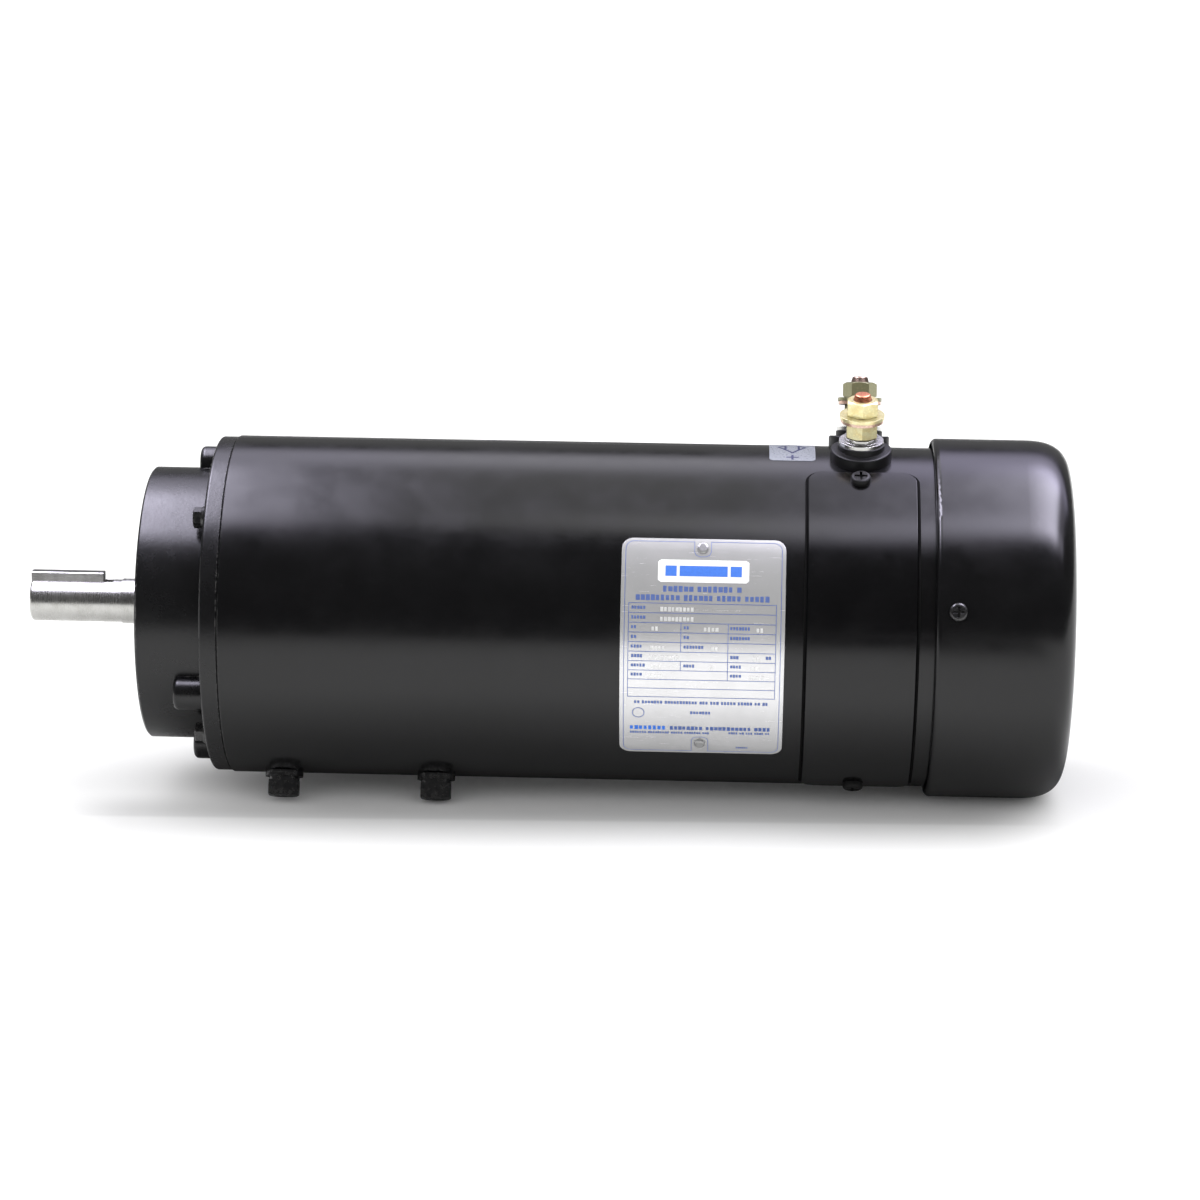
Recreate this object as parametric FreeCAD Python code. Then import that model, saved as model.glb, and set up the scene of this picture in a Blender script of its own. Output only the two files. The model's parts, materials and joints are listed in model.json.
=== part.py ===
import FreeCAD, Part
import math
import os

# Fan-cooled permanent-magnet DC motor with a small face flange.
# Millimetres. The shaft lies along X and leaves through the face towards -X; +Z is up.
# The origin is the centre of the mounting face. An angle is counted in degrees from the
# -Y side, +90 being straight up, so a point at radius r is (x, -r cos a, r sin a).

# ---- Mounting face and front shield
SPIGOT_R = 40.0
SPIGOT_LENGTH = 3.0
FACE_R = 60.0
FACE_DEPTH = 29.6
FACE_WALL = 14.0
FACE_SKIRT_INNER_R = 52.0
FACE_BOLT_CIRCLE_R = 50.0
FACE_TAP_R = 2.5
FACE_TAP_DEPTH = 13.0
DISC_R = 74.0
DISC_REAR_X = 37.5
DISC_EDGE_ROUND = 1.3
SEAM_CHAMFER = 0.5
REGISTER_LENGTH = 4.0
REGISTER_CLEARANCE = 0.05
SHIELD_BOLT_ANGLES = (45, 135, 225, 315)
FRONT_SCREW_CIRCLE_R = 67.0
LUG_R = 7.5
LUG_REACH_R = 69.4
LUGS = ((-27, 16.5), (153, 16.5), (100, 20.0), (-80, 19.0))

# ---- Frame tube
TUBE_R = 74.6
TUBE_BORE_R = 63.5
TUBE_REAR_X = 343.5

# ---- Shaft and key
SHAFT_TIP_X = -54.4
JOURNAL_R = 9.5
JOURNAL_END_X = -14.0
KEY_WIDTH = 6.0
KEY_HEIGHT = 6.0
KEYWAY_DEPTH = 2.5
KEY_END_X = -22.3
KEYWAY_CUTTER_R = 5.0
CORE_SEAT_R = 14.0
COMMUTATOR_SEAT_R = 12.0
FAN_SEAT_R = 7.5
SHAFT_REAR_X = 391.0
CIRCLIP_X = 386.2
CIRCLIP_THICKNESS = 1.0
CIRCLIP_GROOVE_R = 7.1

# ---- Bearings: x of the front face, bore, outer radius, width, ball circle, ball
FRONT_BEARING = dict(x=8.0, bore=10.0, outer=23.5, width=14.0, pitch=16.75, ball=3.97)
REAR_BEARING = dict(x=346.0, bore=8.5, outer=20.0, width=12.0, pitch=14.25, ball=3.37)
BALLS_PER_BEARING = 8
RACE_CLEARANCE = 0.05
WAVE_SPRING_HEIGHT = 2.0

# ---- Magnets and armature
MAGNET_FRONT_X = 72.0
MAGNET_REAR_X = 238.0
MAGNET_BORE_R = 54.5
MAGNET_ARC = 64
CORE_FRONT_X = 80.0
CORE_REAR_X = 230.0
CORE_R = 53.7
SLOTS = 24
SLOT_WIDTH = 6.0
SLOT_MOUTH = 2.4
SLOT_FLOOR_R = 38.0
SLOT_ROOF_R = 50.5
END_TURN_FRONT_X = 56.0
END_TURN_REAR_X = 264.0
COMMUTATOR_R = 32.0
COMMUTATOR_BAR_R = 26.0
COMMUTATOR_FRONT_X = 276.0
RISER_REAR_X = 282.0
RISER_R = 36.0
COMMUTATOR_REAR_X = 326.0
MICA_GAP = 0.8

# ---- Brush gear
BRUSH_X = 308.0
BRUSH_LENGTH = 25.0
BRUSH_WIDTH = 12.5
BRUSH_TOP_R = 52.0
BRUSH_GAP = 0.05
HOLDER_WALL = 1.4
HOLDER_CLEARANCE = 0.1
HOLDER_FLOOR_R = 35.0
HOLDER_TOP_R = 51.0
RING_FRONT_X = 332.0
RING_REAR_X = 335.0
RING_INNER_R = 37.0
RING_OUTER_R = 59.2
RING_PAD_CIRCLE_R = 46.0
BRUSHES = (("upper_right", 45), ("upper_left", 135), ("lower_left", 225), ("lower_right", 315))
BAR_THICKNESS = 1.2
BAR_INNER_R = 55.0
BAR_OUTER_R = 58.0
STRAP_HALF_WIDTH = 6.5

# ---- Brush covers
COVER_FRONT_X = 286.9
COVER_REAR_X = 336.0
COVER_HALF_ANGLE = 67.5
COVER_SHEET = 1.0
COVER_CORNER_R = 8.0
COVER_EDGE_ROUND = 0.6
COVER_INSET = 1.0
COVER_INSET_ANGLE = 0.75
GASKET_THICKNESS = 0.5
WINDOW_FRONT_X = 292.0
WINDOW_REAR_X = 331.0
WINDOW_HALF_ANGLE = 54
COVER_SCREW_X = 310.6
COVER_SCREW_ANGLE = 61.75
COVER_SCREW_HEAD_R = 4.4
COVER_SCREW_HEAD_HEIGHT = 2.8

# ---- Terminals, as a stack of radii up each stud
STUD_X = 311.0
STUD_ANGLES = (78.5, 101.5)
STUD_R = 4.0
STUD_HEAD_R = 55.5
STRAP_R = 59.5
STRAP_TOP_R = 61.0
STUD_TIP_R = 3.3
INSULATOR_R = 13.3
INSULATOR_STEP_TOP = 79.4
INSULATOR_HUB_R = 10.2
INSULATOR_TOP = 81.7
BASE_WASHER_TOP = 83.3
BASE_LOCK_TOP = 85.0
LOWER_NUT_TOP = 92.0
LUG_LOCK_TOP = 93.5
LUG_WASHER_TOP = 95.0
UPPER_NUT_TOP = 101.8
STUD_TOP = 104.4
STACK_LIFTS = (0.0, 1.2)
NUT_FLATS = 13.0

# ---- Rear shield, fan and fan cover
REAR_WEB_X = 351.0
REAR_SHIELD_R = 74.2
REAR_HUB_R = 28.0
REAR_HUB_END_X = 363.0
REAR_SCREW_CIRCLE_R = 69.0
REAR_SCREW_ANGLES = (60, 120, 240, 300)
REAR_SCREW_END_X = 333.0
FAN_HUB_R = 14.0
FAN_FRONT_X = 366.0
FAN_DISC_REAR_X = 369.0
FAN_REAR_X = 386.0
FAN_R = 67.0
FAN_BLADES = 10
FAN_COVER_R = 78.9
FAN_COVER_SHEET = 1.5
FAN_COVER_LIP_X = 342.5
FAN_COVER_LIP_ROUND = 2.4
FAN_COVER_END_X = 402.6
FAN_COVER_DOME = 1.0
CORNER_AXIAL = 20.6
CORNER_RADIAL = 16.3
CORNER_POWER = 2.77
FAN_COVER_SCREW_X = 351.8
FAN_COVER_SCREW_ANGLES = (13.9, 133.9, 253.9)
FAN_COVER_SCREW_HEAD_R = 3.9
GRILLE_HOLE_R = 3.2
GRILLE_RINGS = ((0.0, 1), (11.0, 6), (21.0, 12), (31.0, 18), (41.0, 24))

# ---- Foot bolts under the tube, in two rows
FOOT_BOLT_XS = (60.8, 127.9)
FOOT_BOLT_ANGLES = (-69, -111)
FOOT_WASHER_R = 8.3
FOOT_WASHER_THICKNESS = 1.2
FOOT_WASHERS_TOP = 77.0
FOOT_LOCK_R = 6.7
FOOT_LOCK_TOP = 78.6
FOOT_HEAD_TOP = 85.5
FOOT_HEAD_FLATS = 13.0
FOOT_BOLT_END_R = 64.0

# ---- Nameplate and polarity decal
NAMEPLATE_FRONT_X = 209.3
NAMEPLATE_REAR_X = 279.0
NAMEPLATE_ANGLES = (-41.3, 36.7)
NAMEPLATE_SHEET = 0.5
NAMEPLATE_CORNER_R = 5.0
RIVET_X = 243.7
RIVET_ANGLES = (33.4, -35.9)
RIVET_HEAD_R = 2.4
DECAL_FRONT_X = 271.4
DECAL_REAR_X = 291.4
DECAL_ANGLES = (75.3, 104.7)
DECAL_SHEET = 0.12
SURFACE_GAP = 0.02

CLEARANCE = 0.05
M4_R = 2.0
M5_R = 2.5
M8_R = 4.0
COVER_SCREW_R = 2.4

Vec = FreeCAD.Vector
ORIGIN = Vec(0, 0, 0)
SHAFT_AXIS = Vec(1, 0, 0)

os.makedirs("parts", exist_ok=True)


def save(node, shape):
    """Write one sub-part."""
    shape.exportStep("parts/" + node + ".step")


def turned(outline):
    """Solid turned about the shaft axis from the (x, radius) corners of its half section."""
    corners = [Vec(x, 0, r) for x, r in outline]
    face = Part.Face(Part.makePolygon(corners + corners[:1]))
    return face.revolve(ORIGIN, SHAFT_AXIS, 360)


def ring(x0, x1, outer, inner=0.0):
    """Round bar or tube along the shaft axis."""
    body = Part.makeCylinder(outer, x1 - x0, Vec(x0, 0, 0), SHAFT_AXIS)
    if inner:
        body = body.cut(Part.makeCylinder(inner, x1 - x0 + 2, Vec(x0 - 1, 0, 0), SHAFT_AXIS))
    return body


def arc_block(x0, x1, inner, outer, start, end):
    """Part of a ring, between two angles."""
    corners = [Vec(x0, 0, inner), Vec(x1, 0, inner), Vec(x1, 0, outer), Vec(x0, 0, outer)]
    section = Part.Face(Part.makePolygon(corners + corners[:1]))
    block = section.revolve(ORIGIN, SHAFT_AXIS, end - start)
    block.rotate(ORIGIN, SHAFT_AXIS, 90 - end)
    return block


def axial_bar(x0, x1, radius, distance, angle):
    """Round bar parallel to the shaft, at a distance and an angle from it."""
    a = math.radians(angle)
    start = Vec(x0, -distance * math.cos(a), distance * math.sin(a))
    return Part.makeCylinder(radius, x1 - x0, start, SHAFT_AXIS)


def outward(shape, x, angle):
    """Move a shape built up the Z axis so that it points outwards at an angle, at x."""
    placed = shape.copy()
    placed.rotate(ORIGIN, SHAFT_AXIS, 90 - angle)
    placed.translate(Vec(x, 0, 0))
    return placed


def post(radius, bottom, top):
    """Upright round bar between two heights."""
    return Part.makeCylinder(radius, top - bottom, Vec(0, 0, bottom))


def washer(outer, inner, bottom, top):
    """Upright ring between two heights."""
    return post(outer, bottom, top).cut(post(inner, bottom - 1, top + 1))


def block(x_half, y_half, bottom, top, x=0.0, y=0.0):
    """Upright box centred on (x, y)."""
    corner = Vec(x - x_half, y - y_half, bottom)
    return Part.makeBox(2 * x_half, 2 * y_half, top - bottom, corner)


def edges_at(shape, height):
    """Edges that lie wholly at one height."""
    return [e for e in shape.Edges if all(abs(v.Z - height) < 1e-6 for v in e.Vertexes)]


def hexagon(flats, bottom, top, chamfer_bottom=False):
    """Hexagonal prism with its corners turned off at the top, and at the bottom if asked."""
    corner_r = flats / math.sqrt(3)
    corners = []
    for n in range(7):
        a = math.radians(60 * n)
        corners.append(Vec(corner_r * math.cos(a), corner_r * math.sin(a), bottom))
    prism = Part.Face(Part.makePolygon(corners)).extrude(Vec(0, 0, top - bottom))
    slope = corner_r - 0.47 * flats
    drop = 0.55 * slope
    low = drop if chamfer_bottom else 0.0
    low_r = corner_r - slope if chamfer_bottom else corner_r + 1
    outline = [Vec(0, 0, bottom), Vec(low_r, 0, bottom), Vec(corner_r + 0.01, 0, bottom + low)]
    outline += [Vec(corner_r + 0.01, 0, top - drop), Vec(corner_r - slope, 0, top), Vec(0, 0, top)]
    lens = Part.Face(Part.makePolygon(outline + outline[:1])).revolve(ORIGIN, Vec(0, 0, 1), 360)
    return prism.common(lens)


def pan_screw(head_r, head_height, shank_r, bottom, seat):
    """Upright cross-recessed pan-head screw whose head sits on height seat."""
    head = post(head_r, seat, seat + head_height)
    head = head.makeFillet(0.55 * head_height, edges_at(head, seat + head_height))
    screw = head.fuse(post(shank_r, bottom, seat))
    for x_half, y_half in ((0.62 * head_r, 0.14 * head_r), (0.14 * head_r, 0.62 * head_r)):
        screw = screw.cut(block(x_half, y_half, seat + 0.35 * head_height, seat + 9))
    return screw


def rounded_patch(x0, x1, inner, outer, start, end, corner_r):
    """Curved sheet on the tube with its four corners rounded."""
    sheet = arc_block(x0, x1, inner, outer, start, end)
    corner_edges = [e for e in sheet.Edges if abs(e.Length - (outer - inner)) < 1e-6]
    return sheet.makeFillet(corner_r, corner_edges)


def at_angles(angles, make):
    """Group of one shape per angle."""
    return Part.makeCompound([make(a) for a in angles])


def foot_places():
    """(x, angle) of each foot bolt."""
    return [(x, angle) for x in FOOT_BOLT_XS for angle in FOOT_BOLT_ANGLES]


# ---- Rotor


def make_shaft():
    front, rear = FRONT_BEARING, REAR_BEARING
    front_shoulder_x = front["x"] + front["width"]
    chamfer = 0.8
    outline = [
        (SHAFT_TIP_X, 0),
        (SHAFT_TIP_X, JOURNAL_R - chamfer),
        (SHAFT_TIP_X + chamfer, JOURNAL_R),
        (JOURNAL_END_X, JOURNAL_R),
        (JOURNAL_END_X, front["bore"]),
        (front_shoulder_x, front["bore"]),
        (front_shoulder_x, 13.0),
        (40.0, 13.0),
        (40.0, CORE_SEAT_R),
        (270.0, CORE_SEAT_R),
        (270.0, COMMUTATOR_SEAT_R),
        (338.0, COMMUTATOR_SEAT_R),
        (338.0, 10.8),
        (rear["x"], 10.8),
        (rear["x"], rear["bore"]),
        (361.0, rear["bore"]),
        (361.0, FAN_SEAT_R),
        (CIRCLIP_X, FAN_SEAT_R),
        (CIRCLIP_X, CIRCLIP_GROOVE_R),
        (CIRCLIP_X + CIRCLIP_THICKNESS, CIRCLIP_GROOVE_R),
        (CIRCLIP_X + CIRCLIP_THICKNESS, FAN_SEAT_R),
        (SHAFT_REAR_X - 0.5, FAN_SEAT_R),
        (SHAFT_REAR_X, FAN_SEAT_R - 0.5),
        (SHAFT_REAR_X, 0),
    ]
    shaft = turned(outline)
    floor = JOURNAL_R - KEYWAY_DEPTH
    slot_length = KEY_END_X - SHAFT_TIP_X + 1
    corner = Vec(SHAFT_TIP_X - 1, -KEY_WIDTH / 2, floor)
    slot = Part.makeBox(slot_length, KEY_WIDTH, 10, corner)
    disc_centre = Vec(KEY_END_X, -KEY_WIDTH / 2, floor + KEYWAY_CUTTER_R)
    disc = Part.makeCylinder(KEYWAY_CUTTER_R, KEY_WIDTH, disc_centre, Vec(0, 1, 0))
    lathe_centre = Part.makeCone(2.6, 0, 4.5, Vec(SHAFT_TIP_X, 0, 0), SHAFT_AXIS)
    return shaft.cut(slot.fuse(disc)).cut(lathe_centre)


def make_key():
    floor = JOURNAL_R - KEYWAY_DEPTH
    corner = Vec(SHAFT_TIP_X, -KEY_WIDTH / 2, floor)
    key = Part.makeBox(KEY_END_X - SHAFT_TIP_X, KEY_WIDTH, KEY_HEIGHT, corner)
    long_edges = [e for e in key.Edges if abs(e.Length - key.BoundBox.XLength) < 1e-6]
    return key.makeChamfer(0.35, long_edges)


def make_core():
    """Lamination stack with one open slot per coil side."""
    face = Part.Face(Part.Wire(Part.makeCircle(CORE_R, Vec(CORE_FRONT_X, 0, 0), SHAFT_AXIS)))
    bore = Part.Face(Part.Wire(Part.makeCircle(CORE_SEAT_R, Vec(CORE_FRONT_X, 0, 0), SHAFT_AXIS)))
    cutters = [bore]
    for n in range(SLOTS):
        for half, bottom, top in (
            (SLOT_WIDTH / 2, SLOT_FLOOR_R, SLOT_ROOF_R),
            (SLOT_MOUTH / 2, SLOT_ROOF_R - 1, CORE_R + 1),
        ):
            corners = [Vec(CORE_FRONT_X, y, z) for y, z in
                       ((-half, bottom), (half, bottom), (half, top), (-half, top))]
            slot = Part.Face(Part.makePolygon(corners + corners[:1]))
            slot.rotate(ORIGIN, SHAFT_AXIS, 360 * n / SLOTS)
            cutters.append(slot)
    return face.cut(cutters).extrude(Vec(CORE_REAR_X - CORE_FRONT_X, 0, 0))


def make_windings():
    """One insulated coil bundle per slot, and the end turns in front and behind."""
    bundle = Part.makeBox(
        CORE_REAR_X - CORE_FRONT_X,
        SLOT_WIDTH - 0.4,
        SLOT_ROOF_R - SLOT_FLOOR_R - 0.4,
        Vec(CORE_FRONT_X, -SLOT_WIDTH / 2 + 0.2, SLOT_FLOOR_R + 0.2),
    )
    solids = []
    for n in range(SLOTS):
        solid = bundle.copy()
        solid.rotate(ORIGIN, SHAFT_AXIS, 360 * n / SLOTS)
        solids.append(solid)
    inner = CORE_SEAT_R + 2
    outer = SLOT_ROOF_R + 0.5
    for near, far, slope in (
        (CORE_FRONT_X, END_TURN_FRONT_X, 5.0),
        (CORE_REAR_X, END_TURN_REAR_X, -8.0),
    ):
        outline = [(near, inner), (far + slope, inner), (far, inner + 6), (far, outer - 9),
                   (far + slope, outer - 2), (near, outer)]
        solids.append(turned(outline))
    return Part.makeCompound(solids)


def make_commutator_hub():
    return ring(COMMUTATOR_FRONT_X, COMMUTATOR_REAR_X, COMMUTATOR_BAR_R, COMMUTATOR_SEAT_R)


def make_commutator_bars():
    half_gap = math.degrees(MICA_GAP / 2 / COMMUTATOR_R)
    pitch = 360 / SLOTS
    bars = []
    for n in range(SLOTS):
        start = n * pitch + half_gap
        end = (n + 1) * pitch - half_gap
        bar = arc_block(COMMUTATOR_FRONT_X, COMMUTATOR_REAR_X, COMMUTATOR_BAR_R,
                        COMMUTATOR_R, start, end)
        riser = arc_block(COMMUTATOR_FRONT_X, RISER_REAR_X, COMMUTATOR_BAR_R, RISER_R, start, end)
        bars.append(bar.fuse(riser).removeSplitter())
    return Part.makeCompound(bars)


def make_fan():
    """Moulded radial fan: hub, back disc and straight blades, so it works in both directions."""
    fan = ring(FAN_FRONT_X, FAN_REAR_X, FAN_HUB_R, FAN_SEAT_R)
    fan = fan.fuse(ring(FAN_FRONT_X, FAN_DISC_REAR_X, FAN_R, FAN_HUB_R - 1))
    length = FAN_REAR_X - FAN_FRONT_X - 0.5
    for n in range(FAN_BLADES):
        corner = Vec(FAN_FRONT_X, -1.1, FAN_HUB_R - 1)
        blade = Part.makeBox(length, 2.2, FAN_R - FAN_HUB_R, corner)
        blade.rotate(ORIGIN, SHAFT_AXIS, 360 * n / FAN_BLADES)
        fan = fan.fuse(blade)
    return fan.removeSplitter()


def make_circlip():
    clip = ring(CIRCLIP_X, CIRCLIP_X + CIRCLIP_THICKNESS, 10.0, CIRCLIP_GROOVE_R)
    mouth = Part.makeBox(3, 5, 12, Vec(CIRCLIP_X - 1, -2.5, 0))
    return clip.cut(mouth)


# ---- Bearings


def save_bearing(name, bearing):
    """Inner race, outer race, balls and cage of one deep-groove ball bearing."""
    front = bearing["x"]
    rear = front + bearing["width"]
    middle = Vec((front + rear) / 2, 0, 0)
    pitch = bearing["pitch"]
    ball_r = bearing["ball"]
    shoulder = 0.55 * ball_r
    groove = Part.makeTorus(pitch, ball_r + RACE_CLEARANCE, middle, SHAFT_AXIS)
    save(name + "_inner_race", ring(front, rear, pitch - shoulder, bearing["bore"]).cut(groove))
    save(name + "_outer_race", ring(front, rear, bearing["outer"], pitch + shoulder).cut(groove))
    balls = []
    cage_half = ball_r + 0.9
    cage = ring(middle.x - cage_half, middle.x + cage_half, pitch + 0.35 * ball_r,
                pitch - 0.35 * ball_r)
    for n in range(BALLS_PER_BEARING):
        a = 2 * math.pi * n / BALLS_PER_BEARING
        centre = Vec(middle.x, pitch * math.sin(a), pitch * math.cos(a))
        balls.append(Part.makeSphere(ball_r, centre))
        cage = cage.cut(Part.makeSphere(ball_r + 0.1, centre))
    save(name + "_balls", Part.makeCompound(balls))
    save(name + "_cage", cage)


def make_bearing_seals():
    """Thin rubber shields fixed in the outer races, clear of the inner ones."""
    seals = []
    for bearing in (FRONT_BEARING, REAR_BEARING):
        front = bearing["x"] + 0.2
        rear = bearing["x"] + bearing["width"] - 0.2
        shoulder = 0.55 * bearing["ball"]
        inner = bearing["pitch"] - shoulder + CLEARANCE
        outer = bearing["pitch"] + shoulder
        seals.append(ring(front, front + 0.7, outer, inner))
        seals.append(ring(rear - 0.7, rear, outer, inner))
    return Part.makeCompound(seals)


def make_shaft_seal():
    """Lip seal pressed into the face, its lip running on the bearing journal."""
    lip = FRONT_BEARING["bore"] + CLEARANCE
    outline = [(-2, 17.5), (5, 17.5), (5, 11.8), (1.5, lip), (-0.5, lip), (-0.8, 11.2),
               (3.2, 12.8), (3.2, 15.2), (-2, 15.2)]
    return turned(outline)


def make_wave_spring():
    """Preload spring between the rear bearing's outer race and the end of its housing."""
    start = REAR_BEARING["x"] + REAR_BEARING["width"]
    return ring(start, start + WAVE_SPRING_HEIGHT, 19.6, 16.4)


# ---- Housing


def make_front_shield():
    edge = 0.8
    bearing_end_x = FRONT_BEARING["x"] + FRONT_BEARING["width"] + 2.5
    register_r = TUBE_BORE_R - REGISTER_CLEARANCE
    outline = [
        (-SPIGOT_LENGTH, 17.5),
        (-SPIGOT_LENGTH, SPIGOT_R),
        (0, SPIGOT_R),
        (0, FACE_R - edge),
        (edge, FACE_R),
        (FACE_DEPTH, FACE_R),
        (FACE_DEPTH, DISC_R),
        (DISC_REAR_X - SEAM_CHAMFER, DISC_R),
        (DISC_REAR_X, DISC_R - SEAM_CHAMFER),
        (DISC_REAR_X, register_r),
        (DISC_REAR_X + REGISTER_LENGTH, register_r),
        (DISC_REAR_X + REGISTER_LENGTH, 57.0),
        (32.0, FACE_SKIRT_INNER_R),
        (FACE_WALL, FACE_SKIRT_INNER_R),
        (FACE_WALL, 34.0),
        (bearing_end_x, 31.0),
        (bearing_end_x, FRONT_BEARING["outer"]),
        (FRONT_BEARING["x"], FRONT_BEARING["outer"]),
        (FRONT_BEARING["x"], 14.5),
        (5.0, 14.5),
        (5.0, 17.5),
    ]
    shield = turned(outline)
    rim = [e for e in shield.Edges if hasattr(e.Curve, "Radius")
           and abs(e.Curve.Radius - DISC_R) < 1e-6
           and abs(e.BoundBox.XMin - FACE_DEPTH) < 1e-6]
    shield = shield.makeFillet(DISC_EDGE_ROUND, rim)
    for angle, front_x in LUGS:
        lug = axial_bar(front_x, FACE_DEPTH + 1, LUG_R, LUG_REACH_R - LUG_R, angle)
        front_edges = [e for e in lug.Edges if e.BoundBox.XLength < 1e-6
                       and abs(e.BoundBox.XMin - front_x) < 1e-6]
        lug = lug.makeFillet(2.2, front_edges)
        shield = shield.fuse(lug.cut(ring(-1, FACE_DEPTH + 2, FACE_R - 2)))
    cutters = []
    for angle in SHIELD_BOLT_ANGLES:
        cutters.append(axial_bar(-1, FACE_TAP_DEPTH, FACE_TAP_R, FACE_BOLT_CIRCLE_R, angle))
        cutters.append(axial_bar(FACE_DEPTH - 1, DISC_REAR_X + 9, M5_R + CLEARANCE,
                                 FRONT_SCREW_CIRCLE_R, angle))
    return shield.cut(cutters)


def make_front_shield_screws():
    """Flanged hexagon screws that hold the front shield on the tube."""
    def screw(angle):
        head = hexagon(8.0, FRONT_SCREW_CIRCLE_R, FRONT_SCREW_CIRCLE_R + 5.0)
        flange = Part.makeCone(5.4, 4.6, 1.5, Vec(0, 0, FRONT_SCREW_CIRCLE_R))
        body = head.fuse(flange)
        body.translate(Vec(0, 0, -FRONT_SCREW_CIRCLE_R))
        body = body.fuse(post(M5_R, -22.0, 0.0))
        body.rotate(ORIGIN, Vec(0, 1, 0), -90)
        body.translate(Vec(FACE_DEPTH, 0, FRONT_SCREW_CIRCLE_R))
        body.rotate(ORIGIN, SHAFT_AXIS, 90 - angle)
        return body
    return at_angles(SHIELD_BOLT_ANGLES, screw)


def make_tube():
    """Thick steel tube that carries the magnets and closes their magnetic circuit."""
    tube = turned([
        (DISC_REAR_X, TUBE_BORE_R),
        (DISC_REAR_X, TUBE_R - SEAM_CHAMFER),
        (DISC_REAR_X + SEAM_CHAMFER, TUBE_R),
        (TUBE_REAR_X, TUBE_R),
        (TUBE_REAR_X, TUBE_BORE_R),
    ])
    outer = TUBE_R + 5
    inner = TUBE_BORE_R - 5
    cutters = []
    for middle in (0, 180):
        cutters.append(arc_block(WINDOW_FRONT_X, WINDOW_REAR_X, inner, outer,
                                 middle - WINDOW_HALF_ANGLE, middle + WINDOW_HALF_ANGLE))
        for side in (-1, 1):
            hole = post(COVER_SCREW_R + CLEARANCE, inner, outer)
            cutters.append(outward(hole, COVER_SCREW_X, middle + side * COVER_SCREW_ANGLE))
    for angle in STUD_ANGLES:
        cutters.append(outward(post(7.0, inner, outer), STUD_X, angle))
    foot_hole = post(M8_R + CLEARANCE, FOOT_BOLT_END_R, outer)
    for x, angle in foot_places():
        cutters.append(outward(foot_hole, x, angle))
    for angle in RIVET_ANGLES:
        cutters.append(outward(post(1.4 + CLEARANCE, 69.0, outer), RIVET_X, angle))
    for angle in SHIELD_BOLT_ANGLES:
        cutters.append(axial_bar(DISC_REAR_X - 1, 52.0, M5_R + CLEARANCE,
                                 FRONT_SCREW_CIRCLE_R, angle))
    for angle in REAR_SCREW_ANGLES:
        cutters.append(axial_bar(REAR_SCREW_END_X, TUBE_REAR_X + 1, M5_R + CLEARANCE,
                                 REAR_SCREW_CIRCLE_R, angle))
    return tube.cut(cutters)


def make_magnets():
    """Arc magnets bonded inside the tube, one per pole."""
    half = MAGNET_ARC / 2

    def magnet(angle):
        return arc_block(MAGNET_FRONT_X, MAGNET_REAR_X, MAGNET_BORE_R,
                         TUBE_BORE_R - SURFACE_GAP, angle - half, angle + half)
    return at_angles((0, 90, 180, 270), magnet)


def make_rear_shield():
    register_r = TUBE_BORE_R - REGISTER_CLEARANCE
    seat_start = TUBE_REAR_X
    seat_end = REAR_BEARING["x"] + REAR_BEARING["width"] + WAVE_SPRING_HEIGHT
    outline = [
        (TUBE_REAR_X - REGISTER_LENGTH, 59.8),
        (TUBE_REAR_X - REGISTER_LENGTH, register_r),
        (TUBE_REAR_X, register_r),
        (TUBE_REAR_X, REAR_SHIELD_R),
        (REAR_WEB_X, REAR_SHIELD_R),
        (REAR_WEB_X, REAR_HUB_R + 2),
        (REAR_HUB_END_X, REAR_HUB_R),
        (REAR_HUB_END_X, 12.0),
        (seat_end, 12.0),
        (seat_end, REAR_BEARING["outer"]),
        (seat_start, REAR_BEARING["outer"]),
        (seat_start, 59.8),
    ]
    shield = turned(outline)
    for angle in FAN_COVER_SCREW_ANGLES:
        inner_r = FAN_COVER_R - FAN_COVER_SHEET - 0.1
        boss = outward(block(6.5, 6.5, 66.0, inner_r), FAN_COVER_SCREW_X, angle)
        boss = boss.common(ring(REAR_WEB_X - 7, REAR_WEB_X + 9, inner_r))
        shield = shield.fuse(boss)
    pad_x = (RING_REAR_X, TUBE_REAR_X + 1)
    for angle in (0, 90, 180, 270):
        shield = shield.fuse(axial_bar(pad_x[0], pad_x[1], 5.0, RING_PAD_CIRCLE_R, angle))
    cutters = []
    for angle in FAN_COVER_SCREW_ANGLES:
        hole = post(M4_R + CLEARANCE, 68.0, FAN_COVER_R)
        cutters.append(outward(hole, FAN_COVER_SCREW_X, angle))
    for angle in (0, 90, 180, 270):
        cutters.append(axial_bar(RING_REAR_X - 1, RING_REAR_X + 9, M4_R + CLEARANCE,
                                 RING_PAD_CIRCLE_R, angle))
    for angle in REAR_SCREW_ANGLES:
        cutters.append(axial_bar(TUBE_REAR_X - 9, REAR_WEB_X + 1, M5_R + CLEARANCE,
                                 REAR_SCREW_CIRCLE_R, angle))
    return shield.cut(cutters)


def make_rear_shield_screws():
    """Hexagon screws that hold the rear shield on the tube."""
    def screw(angle):
        body = hexagon(8.0, 0.0, 3.5).fuse(post(M5_R, REAR_SCREW_END_X - REAR_WEB_X, 0.0))
        body.rotate(ORIGIN, Vec(0, 1, 0), 90)
        body.translate(Vec(REAR_WEB_X, 0, REAR_SCREW_CIRCLE_R))
        body.rotate(ORIGIN, SHAFT_AXIS, 90 - angle)
        return body
    return at_angles(REAR_SCREW_ANGLES, screw)


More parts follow.
